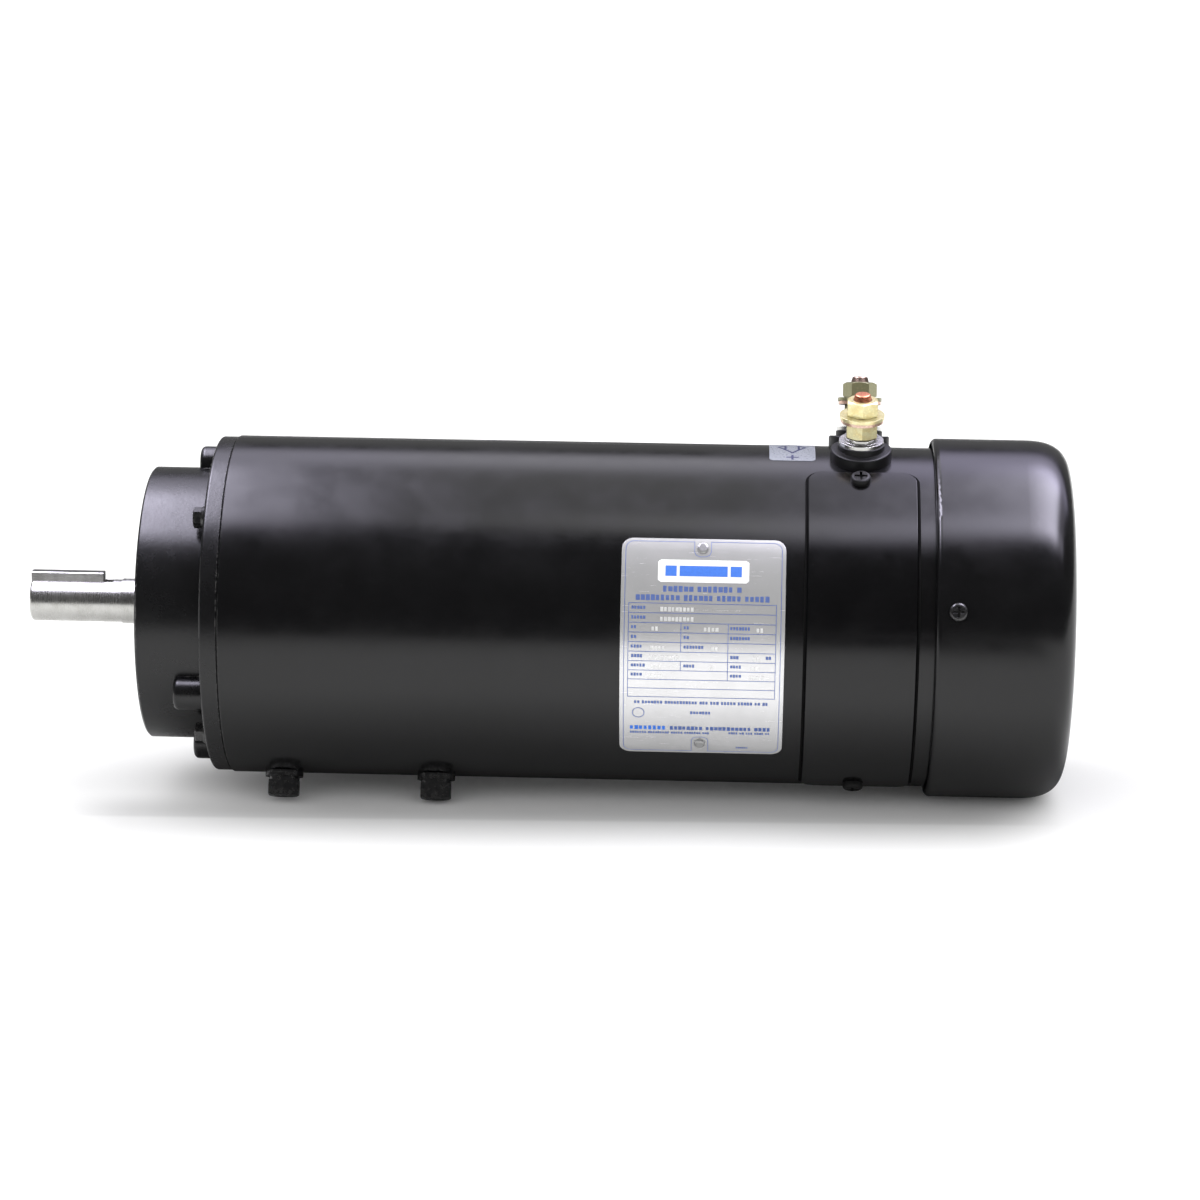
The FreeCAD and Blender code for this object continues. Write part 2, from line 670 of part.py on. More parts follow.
def corner_edge(x0, r0, axial, radial):
    """Fan cover corner: a quarter superellipse from (x0, r0) to (x0 + axial, r0 - radial)."""
    steps = 10
    points = []
    for n in range(steps + 1):
        a = math.pi / 2 * n / steps
        x = x0 + axial * math.sin(a) ** (2 / CORNER_POWER)
        r = r0 - radial + radial * math.cos(a) ** (2 / CORNER_POWER)
        points.append(Vec(x, 0, r))
    curve = Part.BSplineCurve()
    curve.interpolate(points)
    return curve.toShape()


def make_fan_cover():
    """Drawn steel bowl over the fan, with its air inlet holes in the end."""
    straight_end = FAN_COVER_END_X - CORNER_AXIAL
    rim_r = FAN_COVER_R - CORNER_RADIAL
    sheet = FAN_COVER_SHEET
    inner_r = FAN_COVER_R - sheet
    lip = FAN_COVER_LIP_X
    dome = FAN_COVER_END_X + FAN_COVER_DOME
    half = FAN_COVER_END_X + 0.75 * FAN_COVER_DOME
    turn_x = lip + FAN_COVER_LIP_ROUND
    turn_r = FAN_COVER_R - FAN_COVER_LIP_ROUND
    lip_face = Part.makeLine(Vec(lip, 0, turn_r), Vec(lip + sheet, 0, turn_r))
    lip_rounds = []
    for bend in (FAN_COVER_LIP_ROUND, FAN_COVER_LIP_ROUND - sheet):
        middle_bend = bend * math.sqrt(0.5)
        arc = Part.Arc(Vec(turn_x - bend, 0, turn_r),
                       Vec(turn_x - middle_bend, 0, turn_r + middle_bend),
                       Vec(turn_x, 0, turn_r + bend))
        lip_rounds.append(arc.toShape())
    outer_wall = Part.makeLine(Vec(turn_x, 0, FAN_COVER_R), Vec(straight_end, 0, FAN_COVER_R))
    outer_corner = corner_edge(straight_end, FAN_COVER_R, CORNER_AXIAL, CORNER_RADIAL)
    outer_dome = Part.Arc(Vec(FAN_COVER_END_X, 0, rim_r), Vec(half, 0, rim_r / 2),
                          Vec(dome, 0, 0)).toShape()
    middle = Part.makeLine(Vec(dome, 0, 0), Vec(dome - sheet, 0, 0))
    inner_dome = Part.Arc(Vec(dome - sheet, 0, 0), Vec(half - sheet, 0, rim_r / 2),
                          Vec(FAN_COVER_END_X - sheet, 0, rim_r)).toShape()
    inner_corner = corner_edge(straight_end, inner_r, CORNER_AXIAL - sheet,
                               CORNER_RADIAL - sheet)
    inner_wall = Part.makeLine(Vec(straight_end, 0, inner_r), Vec(turn_x, 0, inner_r))
    edges = [lip_face, *lip_rounds, outer_wall, outer_corner, outer_dome, middle, inner_dome,
             inner_corner, inner_wall]
    wire = Part.Wire(Part.__sortEdges__(edges))
    cover = Part.Face(wire).revolve(ORIGIN, SHAFT_AXIS, 360)
    cutters = []
    for radius, count in GRILLE_RINGS:
        for n in range(count):
            cutters.append(axial_bar(FAN_COVER_END_X - 5, dome + 1, GRILLE_HOLE_R, radius,
                                     360 * n / count))
    for angle in FAN_COVER_SCREW_ANGLES:
        hole = post(M4_R + 0.2, 74.0, FAN_COVER_R + 2)
        cutters.append(outward(hole, FAN_COVER_SCREW_X, angle))
    return cover.cut(cutters)


def make_fan_cover_screws():
    def screw(angle):
        body = pan_screw(FAN_COVER_SCREW_HEAD_R, 2.4, M4_R, 70.0, FAN_COVER_R)
        return outward(body, FAN_COVER_SCREW_X, angle)
    return at_angles(FAN_COVER_SCREW_ANGLES, screw)


# ---- Brush covers


def make_brush_cover(middle):
    """Bent sheet that closes one brush window."""
    seat = TUBE_R + SURFACE_GAP + GASKET_THICKNESS
    top = seat + COVER_SHEET
    half = COVER_HALF_ANGLE - COVER_INSET_ANGLE
    sheet = rounded_patch(COVER_FRONT_X + COVER_INSET, COVER_REAR_X - COVER_INSET, seat, top,
                          middle - half, middle + half, COVER_CORNER_R - COVER_INSET)
    rim = [e for e in sheet.Edges
           if all(abs(math.hypot(v.Y, v.Z) - top) < 1e-6 for v in e.Vertexes)]
    sheet = sheet.makeFillet(COVER_EDGE_ROUND, rim)
    for side in (-1, 1):
        hole = post(COVER_SCREW_R + 0.2, 70.0, 80.0)
        sheet = sheet.cut(outward(hole, COVER_SCREW_X, middle + side * COVER_SCREW_ANGLE))
    return sheet


def make_brush_cover_gaskets():
    """Rubber gaskets whose edge shows all round the covers."""
    def gasket(middle):
        inner = TUBE_R + SURFACE_GAP
        sheet = rounded_patch(COVER_FRONT_X, COVER_REAR_X, inner, inner + GASKET_THICKNESS,
                              middle - COVER_HALF_ANGLE, middle + COVER_HALF_ANGLE,
                              COVER_CORNER_R)
        opening = arc_block(WINDOW_FRONT_X, WINDOW_REAR_X, inner - 3, inner + 3,
                            middle - WINDOW_HALF_ANGLE - 1, middle + WINDOW_HALF_ANGLE + 1)
        sheet = sheet.cut(opening)
        for side in (-1, 1):
            hole = post(COVER_SCREW_R + 0.2, 70.0, 80.0)
            sheet = sheet.cut(outward(hole, COVER_SCREW_X, middle + side * COVER_SCREW_ANGLE))
        return sheet
    return at_angles((0, 180), gasket)


def make_brush_cover_screws():
    seat = TUBE_R + SURFACE_GAP + GASKET_THICKNESS + COVER_SHEET

    def screw(angle):
        body = pan_screw(COVER_SCREW_HEAD_R, COVER_SCREW_HEAD_HEIGHT, COVER_SCREW_R, 66.0, seat)
        return outward(body, COVER_SCREW_X, angle)
    a = COVER_SCREW_ANGLE
    return at_angles((a, -a, 180 - a, 180 + a), screw)


# ---- Brush gear


def make_brush(angle):
    body = block(BRUSH_LENGTH / 2, BRUSH_WIDTH / 2, COMMUTATOR_R - 3, BRUSH_TOP_R)
    return outward(body, BRUSH_X, angle).cut(ring(280, 330, COMMUTATOR_R + BRUSH_GAP))


def make_brush_spring(angle):
    """Constant-force roll that sits on the brush, with the free end of its strip."""
    roll_r = 4.0
    half = 5.0
    roll = Part.makeCylinder(roll_r, 2 * half, Vec(-half, 0, BRUSH_TOP_R + roll_r), SHAFT_AXIS)
    roll = roll.cut(Part.makeCylinder(2.2, 2 * half, Vec(-half, 0, BRUSH_TOP_R + roll_r),
                                      SHAFT_AXIS))
    top = BRUSH_TOP_R + 2 * roll_r
    side = BRUSH_WIDTH / 2 + HOLDER_CLEARANCE + HOLDER_WALL + 0.15
    across = block(half, side / 2 + 0.15, top - 0.3, top, y=side / 2 + 0.15)
    down = block(half, 0.15, BRUSH_TOP_R - 8, top, y=side + 0.15)
    return outward(roll.fuse(across).fuse(down), BRUSH_X, angle)


def make_brush_lead(angle):
    """Flexible copper lead from the brush to the brush ring."""
    wire_r = 1.1
    rise = BRUSH_TOP_R + 4.5
    start = 9.0
    reach = RING_FRONT_X - BRUSH_X - 1.0
    stem = Part.makeCylinder(wire_r, rise - BRUSH_TOP_R, Vec(start, 0, BRUSH_TOP_R))
    knee = Part.makeSphere(wire_r, Vec(start, 0, rise))
    run = Part.makeCylinder(wire_r, reach - start, Vec(start, 0, rise), SHAFT_AXIS)
    tag = Part.makeBox(1.0, 6.0, 5.0, Vec(reach, -3.0, rise - 3.0))
    return outward(stem.fuse(knee).fuse(run).fuse(tag), BRUSH_X, angle)


def make_brush_holders():
    """Brass boxes that guide the brushes, each with a foot on the brush ring."""
    inner_x = BRUSH_LENGTH / 2 + HOLDER_CLEARANCE
    inner_y = BRUSH_WIDTH / 2 + HOLDER_CLEARANCE
    outer_x = inner_x + HOLDER_WALL
    outer_y = inner_y + HOLDER_WALL
    foot_end = RING_FRONT_X - BRUSH_X
    shelf_half = (foot_end - outer_x + 0.5) / 2

    def holder(angle):
        box = block(outer_x, outer_y, HOLDER_FLOOR_R, HOLDER_TOP_R)
        box = box.fuse(block(shelf_half, outer_y, 43.0, 45.0, x=foot_end - shelf_half))
        box = box.fuse(block(0.8, outer_y, 38.5, 50.0, x=foot_end - 0.8))
        box = box.cut(block(inner_x, inner_y, HOLDER_FLOOR_R - 5, HOLDER_TOP_R + 5))
        return outward(box, BRUSH_X, angle)
    return at_angles([angle for _, angle in BRUSHES], holder)


def make_brush_ring():
    """Insulating ring that carries the brush holders."""
    body = ring(RING_FRONT_X, RING_REAR_X, RING_OUTER_R, RING_INNER_R)
    holes = [axial_bar(RING_FRONT_X - 1, RING_REAR_X + 1, M4_R + 0.2, RING_PAD_CIRCLE_R, a)
             for a in (0, 90, 180, 270)]
    return body.cut(holes)


def make_brush_ring_screws():
    def screw(angle):
        body = pan_screw(3.6, 2.2, M4_R, -10.0, 0.0)
        body.rotate(ORIGIN, Vec(0, 1, 0), -90)
        body.translate(Vec(RING_FRONT_X, 0, RING_PAD_CIRCLE_R))
        body.rotate(ORIGIN, SHAFT_AXIS, 90 - angle)
        return body
    return at_angles((0, 90, 180, 270), screw)


def make_bus_straps():
    """Copper straps that join each opposite pair of brush holders to one terminal stud."""
    far_x = RING_REAR_X + 3.0
    near = arc_block(RING_REAR_X, RING_REAR_X + BAR_THICKNESS, BAR_INNER_R, BAR_OUTER_R, 45, 225)
    far = arc_block(far_x, far_x + BAR_THICKNESS, BAR_INNER_R - 3, BAR_OUTER_R, -45, 135)
    for angle in (-42, 132):
        far = far.fuse(axial_bar(RING_REAR_X, far_x + 0.5, 1.2, BAR_INNER_R - 1.6, angle))
    straps = []
    for stud_angle, strap, front_x in zip(STUD_ANGLES, (near, far), (RING_REAR_X, far_x)):
        rear_x = front_x + BAR_THICKNESS
        middle = (front_x + rear_x) / 2 - STUD_X
        riser = block(BAR_THICKNESS / 2, STRAP_HALF_WIDTH, BAR_INNER_R + 1, STRAP_TOP_R, x=middle)
        run_half = (rear_x - STUD_X + 8.0) / 2
        run = block(run_half, STRAP_HALF_WIDTH, STRAP_R, STRAP_TOP_R,
                    x=rear_x - STUD_X - run_half)
        link = riser.fuse(run).cut(post(M8_R + CLEARANCE, STRAP_R - 1, STRAP_TOP_R + 1))
        straps.append(strap.fuse(outward(link, STUD_X, stud_angle)).removeSplitter())
    return Part.makeCompound(straps)


# ---- Terminals


def on_studs(shape, lifts=(0.0, 0.0)):
    """The same upright shape on both terminal studs, raised by each stud's lift."""
    placed = []
    for angle, lift in zip(STUD_ANGLES, lifts):
        raised = shape.copy()
        raised.translate(Vec(0, 0, lift))
        placed.append(outward(raised, STUD_X, angle))
    return Part.makeCompound(placed)


def make_terminal_studs():
    studs = []
    for angle, lift in zip(STUD_ANGLES, STACK_LIFTS):
        neck = UPPER_NUT_TOP + lift
        top = STUD_TOP + lift
        tip = Part.makeCone(STUD_R, STUD_TIP_R, top - neck, Vec(0, 0, neck))
        tip = tip.makeFillet(1.0, edges_at(tip, top))
        stud = post(STUD_R, STUD_HEAD_R, neck).fuse(tip)
        stud = stud.fuse(hexagon(NUT_FLATS, STUD_HEAD_R, STRAP_R, chamfer_bottom=True))
        studs.append(outward(stud, STUD_X, angle))
    return Part.makeCompound(studs)


def turned_to_studs(shape):
    """The same shape, built at the top of the tube, on both terminal studs."""
    group = []
    for angle in STUD_ANGLES:
        placed = shape.copy()
        placed.rotate(ORIGIN, SHAFT_AXIS, 90 - angle)
        group.append(placed)
    return Part.makeCompound(group)


def make_terminal_insulators():
    """Saddle moulding bent to the tube, with a raised flat-topped hub."""
    saddle = ring(STUD_X - 30, STUD_X + 30, INSULATOR_STEP_TOP)
    saddle.rotate(ORIGIN, SHAFT_AXIS, 180)
    flange = outward(post(INSULATOR_R, 70.0, 90.0), STUD_X, 90).common(saddle)
    flange = flange.makeFillet(0.7, [e for e in flange.Edges if e.BoundBox.ZMin > TUBE_R])
    hub = post(INSULATOR_HUB_R, 70.0, INSULATOR_TOP)
    hub = hub.makeFillet(0.4, edges_at(hub, INSULATOR_TOP))
    body = flange.fuse(outward(hub, STUD_X, 90))
    hole = outward(post(M8_R + CLEARANCE, 60.0, 90.0), STUD_X, 90)
    tube = ring(STUD_X - 30, STUD_X + 30, TUBE_R + SURFACE_GAP)
    return turned_to_studs(body.cut(hole).cut(tube))


def make_terminal_bushes():
    """Insulating sleeve through the tube wall, with a flange inside."""
    bore = ring(STUD_X - 30, STUD_X + 30, TUBE_BORE_R - SURFACE_GAP)
    flange = outward(post(10.0, STRAP_TOP_R, 65.0), STUD_X, 90).common(bore)
    sleeve = outward(post(6.95, STRAP_TOP_R, TUBE_R - 0.3), STUD_X, 90)
    hole = outward(post(M8_R + CLEARANCE, 50.0, 90.0), STUD_X, 90)
    return turned_to_studs(flange.fuse(sleeve).cut(hole))


def split_washer(outer, inner, bottom, top):
    """Spring lock washer with its slanted split."""
    body = washer(outer, inner, bottom, top)
    gap = block(outer, 0.45, bottom - 2, top + 2, x=outer)
    gap.rotate(Vec(0, 0, (bottom + top) / 2), Vec(1, 0, 0), 25)
    return body.cut(gap)


def save_terminal_stack():
    """Washers and nuts on the studs, from the insulator up.

    A raised stack stands on a spacer above its base lock washer.
    """
    hole = STUD_R + CLEARANCE
    base = [on_studs(washer(9.65, hole, INSULATOR_TOP, BASE_WASHER_TOP)),
            on_studs(split_washer(7.4, hole, BASE_WASHER_TOP, BASE_LOCK_TOP))]
    for angle, lift in zip(STUD_ANGLES, STACK_LIFTS):
        if lift:
            spacer = washer(7.4, hole, BASE_LOCK_TOP, BASE_LOCK_TOP + lift)
            base.append(outward(spacer, STUD_X, angle))
    save("terminal_base_washers", Part.makeCompound(base))
    lug_lock = split_washer(9.3, hole, LOWER_NUT_TOP, LUG_LOCK_TOP)
    save("terminal_lock_washers", on_studs(lug_lock, STACK_LIFTS))
    lug_washer = washer(9.7, hole, LUG_LOCK_TOP, LUG_WASHER_TOP)
    save("terminal_lug_washers", on_studs(lug_washer, STACK_LIFTS))
    nuts = []
    for bottom, top, turns in ((BASE_LOCK_TOP, LOWER_NUT_TOP, (30, 30)),
                               (LUG_WASHER_TOP, UPPER_NUT_TOP, (30, 0))):
        nut = hexagon(NUT_FLATS, bottom, top, chamfer_bottom=True)
        nut = nut.cut(post(hole, bottom - 1, top + 1))
        for angle, turn, lift in zip(STUD_ANGLES, turns, STACK_LIFTS):
            turned_nut = nut.copy()
            turned_nut.rotate(ORIGIN, Vec(0, 0, 1), turn)
            turned_nut.translate(Vec(0, 0, lift))
            nuts.append(outward(turned_nut, STUD_X, angle))
    save("terminal_nuts", Part.makeCompound(nuts))


# ---- Foot bolts, nameplate and decal


def under_foot(shapes):
    """The same upright shapes at each foot bolt."""
    placed = [outward(shape, x, angle) for x, angle in foot_places() for shape in shapes]
    return Part.makeCompound(placed)


def save_foot_bolts():
    """Bolts for a foot or base under the tube, each with two flat washers and a lock washer."""
    hole = M8_R + CLEARANCE
    middle = FOOT_WASHERS_TOP - FOOT_WASHER_THICKNESS
    flat = [washer(FOOT_WASHER_R, hole, bottom, bottom + FOOT_WASHER_THICKNESS)
            for bottom in (TUBE_R, middle)]
    save("foot_flat_washers", under_foot(flat))
    lock = split_washer(FOOT_LOCK_R, hole, FOOT_WASHERS_TOP, FOOT_LOCK_TOP)
    save("foot_lock_washers", under_foot([lock]))
    bolt = hexagon(FOOT_HEAD_FLATS, FOOT_LOCK_TOP, FOOT_HEAD_TOP)
    bolt.rotate(ORIGIN, Vec(0, 0, 1), 30)
    bolt = bolt.fuse(post(M8_R, FOOT_BOLT_END_R, FOOT_LOCK_TOP))
    save("foot_bolts", under_foot([bolt]))


def make_nameplate():
    inner = TUBE_R + SURFACE_GAP
    plate = rounded_patch(NAMEPLATE_FRONT_X, NAMEPLATE_REAR_X, inner, inner + NAMEPLATE_SHEET,
                          NAMEPLATE_ANGLES[0], NAMEPLATE_ANGLES[1], NAMEPLATE_CORNER_R)
    holes = [outward(post(1.5, 70, 80), RIVET_X, a) for a in RIVET_ANGLES]
    return plate.cut(holes)


def make_nameplate_rivets():
    seat = TUBE_R + SURFACE_GAP + NAMEPLATE_SHEET

    def rivet(angle):
        head = post(RIVET_HEAD_R, seat, seat + 1.2)
        head = head.makeFillet(0.9, edges_at(head, seat + 1.2))
        return outward(head.fuse(post(1.4, 69.0, seat)), RIVET_X, angle)
    return at_angles(RIVET_ANGLES, rivet)


def make_decal():
    inner = TUBE_R + SURFACE_GAP
    return rounded_patch(DECAL_FRONT_X, DECAL_REAR_X, inner, inner + DECAL_SHEET,
                         DECAL_ANGLES[0], DECAL_ANGLES[1], 2.0)


save("shaft", make_shaft())
save("shaft_key", make_key())
save("armature_core", make_core())
save("armature_windings", make_windings())
save("commutator_hub", make_commutator_hub())
save("commutator_bars", make_commutator_bars())
save("fan", make_fan())
save("fan_retaining_ring", make_circlip())
save_bearing("front_bearing", FRONT_BEARING)
save_bearing("rear_bearing", REAR_BEARING)
save("bearing_seals", make_bearing_seals())
save("shaft_seal", make_shaft_seal())
save("bearing_preload_spring", make_wave_spring())
save("front_shield", make_front_shield())
save("front_shield_screws", make_front_shield_screws())
save("frame_tube", make_tube())
save("magnets", make_magnets())
save("rear_shield", make_rear_shield())
save("rear_shield_screws", make_rear_shield_screws())
save("fan_cover", make_fan_cover())
save("fan_cover_screws", make_fan_cover_screws())
save("brush_cover_right", make_brush_cover(0))
save("brush_cover_left", make_brush_cover(180))
save("brush_cover_gaskets", make_brush_cover_gaskets())
save("brush_cover_screws", make_brush_cover_screws())
for brush_name, brush_angle in BRUSHES:
    save("brush_" + brush_name, make_brush(brush_angle))
    save("brush_spring_" + brush_name, make_brush_spring(brush_angle))
    save("brush_lead_" + brush_name, make_brush_lead(brush_angle))
save("brush_holders", make_brush_holders())
save("brush_ring", make_brush_ring())
save("brush_ring_screws", make_brush_ring_screws())
save("bus_straps", make_bus_straps())
save("terminal_studs", make_terminal_studs())
save("terminal_insulators", make_terminal_insulators())
save("terminal_bushes", make_terminal_bushes())
save_terminal_stack()
save_foot_bolts()
save("nameplate", make_nameplate())
save("nameplate_rivets", make_nameplate_rivets())
save("polarity_decal", make_decal())
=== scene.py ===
import json
import math
import random

import bmesh
import bpy
from mathutils import Matrix, Vector


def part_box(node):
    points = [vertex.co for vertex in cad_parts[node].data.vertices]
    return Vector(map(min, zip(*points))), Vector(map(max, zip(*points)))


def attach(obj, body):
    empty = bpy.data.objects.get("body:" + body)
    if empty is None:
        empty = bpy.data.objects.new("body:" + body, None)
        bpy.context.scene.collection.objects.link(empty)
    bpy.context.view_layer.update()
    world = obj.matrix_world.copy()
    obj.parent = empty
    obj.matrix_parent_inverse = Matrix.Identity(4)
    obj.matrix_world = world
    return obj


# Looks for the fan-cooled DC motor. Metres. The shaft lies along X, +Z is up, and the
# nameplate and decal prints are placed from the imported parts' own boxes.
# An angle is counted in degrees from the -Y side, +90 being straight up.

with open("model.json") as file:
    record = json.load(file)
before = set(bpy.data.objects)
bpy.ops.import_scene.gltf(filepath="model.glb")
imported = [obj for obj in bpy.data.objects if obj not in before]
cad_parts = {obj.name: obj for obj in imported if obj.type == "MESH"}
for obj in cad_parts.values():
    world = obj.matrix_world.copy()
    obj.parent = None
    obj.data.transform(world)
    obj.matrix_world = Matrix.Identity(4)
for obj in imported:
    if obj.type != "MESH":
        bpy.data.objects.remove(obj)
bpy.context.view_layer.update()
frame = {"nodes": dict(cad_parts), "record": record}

MM = 0.001
PRINT_HEIGHT = 0.04 * MM

# ---------------------------------------------------------------- node helpers


class Nodes:
    """Short-hand for building one material's node tree."""

    def __init__(self, name):
        self.material = bpy.data.materials.new(name)
        self.material.use_nodes = True
        self.tree = self.material.node_tree
        self.tree.nodes.clear()
        self.output = self.tree.nodes.new("ShaderNodeOutputMaterial")
        self.surface = self.tree.nodes.new("ShaderNodeBsdfPrincipled")
        self.link(self.surface.outputs["BSDF"], self.output.inputs["Surface"])
        self.coords = self.tree.nodes.new("ShaderNodeTexCoord").outputs["Object"]

    def link(self, source, target):
        self.tree.links.new(source, target)

    def put(self, target, value):
        if isinstance(value, bpy.types.NodeSocket):
            self.link(value, target)
        else:
            target.default_value = value

    def set(self, name, value):
        self.put(self.surface.inputs[name], value)

    def stretched(self, scale):
        node = self.tree.nodes.new("ShaderNodeMapping")
        self.link(self.coords, node.inputs["Vector"])
        node.inputs["Scale"].default_value = scale
        return node.outputs["Vector"]

    def noise(self, size, detail=3.0, roughness=0.55, vector=None, distortion=0.0):
        """Noise between 0 and 1 whose blobs are about `size` metres across."""
        node = self.tree.nodes.new("ShaderNodeTexNoise")
        self.link(vector or self.coords, node.inputs["Vector"])
        node.inputs["Scale"].default_value = 1.0 / size
        node.inputs["Detail"].default_value = detail
        node.inputs["Roughness"].default_value = roughness
        node.inputs["Distortion"].default_value = distortion
        return node.outputs["Fac"]

    def spread(self, value, low, high, to_low=0.0, to_high=1.0):
        node = self.tree.nodes.new("ShaderNodeMapRange")
        node.interpolation_type = "SMOOTHSTEP"
        self.put(node.inputs["Value"], value)
        node.inputs["From Min"].default_value = low
        node.inputs["From Max"].default_value = high
        node.inputs["To Min"].default_value = to_low
        node.inputs["To Max"].default_value = to_high
        return node.outputs["Result"]

    def sum(self, operation, a, b=0.0, c=0.0):
        node = self.tree.nodes.new("ShaderNodeMath")
        node.operation = operation
        for target, value in zip(node.inputs, (a, b, c)):
            self.put(target, value)
        return node.outputs[0]

    def mix(self, factor, a, b):
        """Colour a where factor is 0 and b where it is 1."""
        node = self.tree.nodes.new("ShaderNodeMix")
        node.data_type = "RGBA"
        self.put(node.inputs[0], factor)
        self.put(node.inputs[6], a if isinstance(a, bpy.types.NodeSocket) else (*a, 1.0))
        self.put(node.inputs[7], b if isinstance(b, bpy.types.NodeSocket) else (*b, 1.0))
        return node.outputs[2]

    def bump(self, height, strength, distance, normal=None):
        node = self.tree.nodes.new("ShaderNodeBump")
        node.inputs["Strength"].default_value = strength
        node.inputs["Distance"].default_value = distance
        self.put(node.inputs["Height"], height)
        if normal is not None:
            self.put(node.inputs["Normal"], normal)
        return node.outputs["Normal"]

    def edge(self, radius, low=0.02, high=0.12):
        """1 on sharp edges and corners, 0 on open surface, and the rounded-edge normal."""
        bevel = self.tree.nodes.new("ShaderNodeBevel")
        bevel.samples = 4
        bevel.inputs["Radius"].default_value = radius
        geometry = self.tree.nodes.new("ShaderNodeNewGeometry")
        dot = self.tree.nodes.new("ShaderNodeVectorMath")
        dot.operation = "DOT_PRODUCT"
        self.link(bevel.outputs[0], dot.inputs[0])
        self.link(geometry.outputs["Normal"], dot.inputs[1])
        turn = self.sum("SUBTRACT", 1.0, dot.outputs["Value"])
        return self.spread(turn, low, high), bevel.outputs[0]

    def outwardness(self):
        """1 where the surface faces straight out from the shaft, 0 where it faces along it."""
        geometry = self.tree.nodes.new("ShaderNodeNewGeometry")
        across = self.tree.nodes.new("ShaderNodeVectorMath")
        across.operation = "MULTIPLY"
        self.link(self.coords, across.inputs[0])
        across.inputs[1].default_value = (0.0, 1.0, 1.0)
        unit = self.tree.nodes.new("ShaderNodeVectorMath")
        unit.operation = "NORMALIZE"
        self.link(across.outputs[0], unit.inputs[0])
        dot = self.tree.nodes.new("ShaderNodeVectorMath")
        dot.operation = "DOT_PRODUCT"
        self.link(unit.outputs[0], dot.inputs[0])
        self.link(geometry.outputs["True Normal"], dot.inputs[1])
        return dot.outputs["Value"]

    def axis(self, name):
        """One coordinate of the object's own position."""
        split = self.tree.nodes.new("ShaderNodeSeparateXYZ")
        self.link(self.coords, split.inputs[0])
        return split.outputs[name]

    def ray(self, name):
        return self.tree.nodes.new("ShaderNodeLightPath").outputs[name]


# ---------------------------------------------------------------- materials


def black_paint(name, tint, roughness, peel, texture, wear, dull_rim=False):
    """Satin black enamel: orange peel, dust, handling marks and worn corners.

    With `dull_rim` the turned-down edges of a cover take no shine.
    """
    n = Nodes(name)
    worn, normal = n.edge(0.5 * MM)
    dust = n.noise(45 * MM, 4.0)
    fleck = n.noise(0.9 * MM, 2.0)
    base = n.mix(n.spread(dust, 0.35, 0.75), tint, tuple(1.5 * c for c in tint))
    speck = n.spread(fleck, 0.77, 0.82)
    base = n.mix(n.sum("MULTIPLY", speck, 0.35), base, (0.16, 0.155, 0.15))
    chips = n.sum("MULTIPLY", worn, n.spread(n.noise(2.2 * MM, 3.0), 0.48, 0.62))
    base = n.mix(n.sum("MULTIPLY", chips, wear), base, (0.24, 0.235, 0.23))
    n.set("Base Color", base)
    handling = n.noise(18 * MM, 5.0, 0.65)
    grain = n.noise(0.6 * MM, 2.0)
    rough = n.spread(handling, 0.3, 0.75, roughness - 0.035, roughness + 0.045)
    n.set("Roughness", n.sum("ADD", rough, n.sum("MULTIPLY", grain, 0.04)))
    if dull_rim:
        n.set("Specular IOR Level", n.spread(n.outwardness(), 0.975, 0.994, 0.03, 0.5))
        normal = None
    peeled = n.noise(1.6 * MM, 2.0)
    height = n.sum("ADD", peeled, n.sum("MULTIPLY", n.noise(6.0 * MM, 3.0), texture))
    n.set("Normal", n.bump(height, 1.0, peel, normal))
    return n.material


def blackened_steel(name, roughness):
    """Black oxide and oil on small fasteners."""
    n = Nodes(name)
    worn, normal = n.edge(0.25 * MM, 0.03, 0.2)
    mottled = n.spread(n.noise(2.5 * MM, 4.0), 0.35, 0.7)
    base = n.mix(mottled, (0.007, 0.007, 0.008), (0.018, 0.0175, 0.017))
    n.set("Base Color", n.mix(n.sum("MULTIPLY", worn, 0.15), base, (0.08, 0.078, 0.075)))
    n.set("Metallic", 0.2)
    n.set("Specular IOR Level", 1.0)
    n.set("Roughness", n.spread(mottled, 0.0, 1.0, roughness - 0.06, roughness + 0.06))
    n.set("Normal", n.bump(n.noise(1.4 * MM, 2.0), 0.5, 0.02 * MM, normal))
    return n.material


def turned_steel(name):
    """Bright ground steel with fine marks running round the shaft."""
    n = Nodes(name)
    worn, normal = n.edge(0.2 * MM)
    rings = n.noise(0.35 * MM, 4.0, 0.7, n.stretched((1.0, 0.04, 0.04)))
    patches = n.noise(9 * MM, 4.0)
    base = n.mix(n.spread(patches, 0.3, 0.75), (0.60, 0.595, 0.575), (0.48, 0.475, 0.45))
    n.set("Base Color", n.mix(n.sum("MULTIPLY", worn, 0.5), base, (0.75, 0.75, 0.74)))
    n.set("Metallic", 1.0)
    uneven = n.sum("ADD", rings, n.sum("MULTIPLY", patches, 0.6))
    n.set("Roughness", n.spread(uneven, 0.4, 1.2, 0.17, 0.34))
    n.set("Normal", n.bump(rings, 0.5, 0.012 * MM, normal))
    return n.material


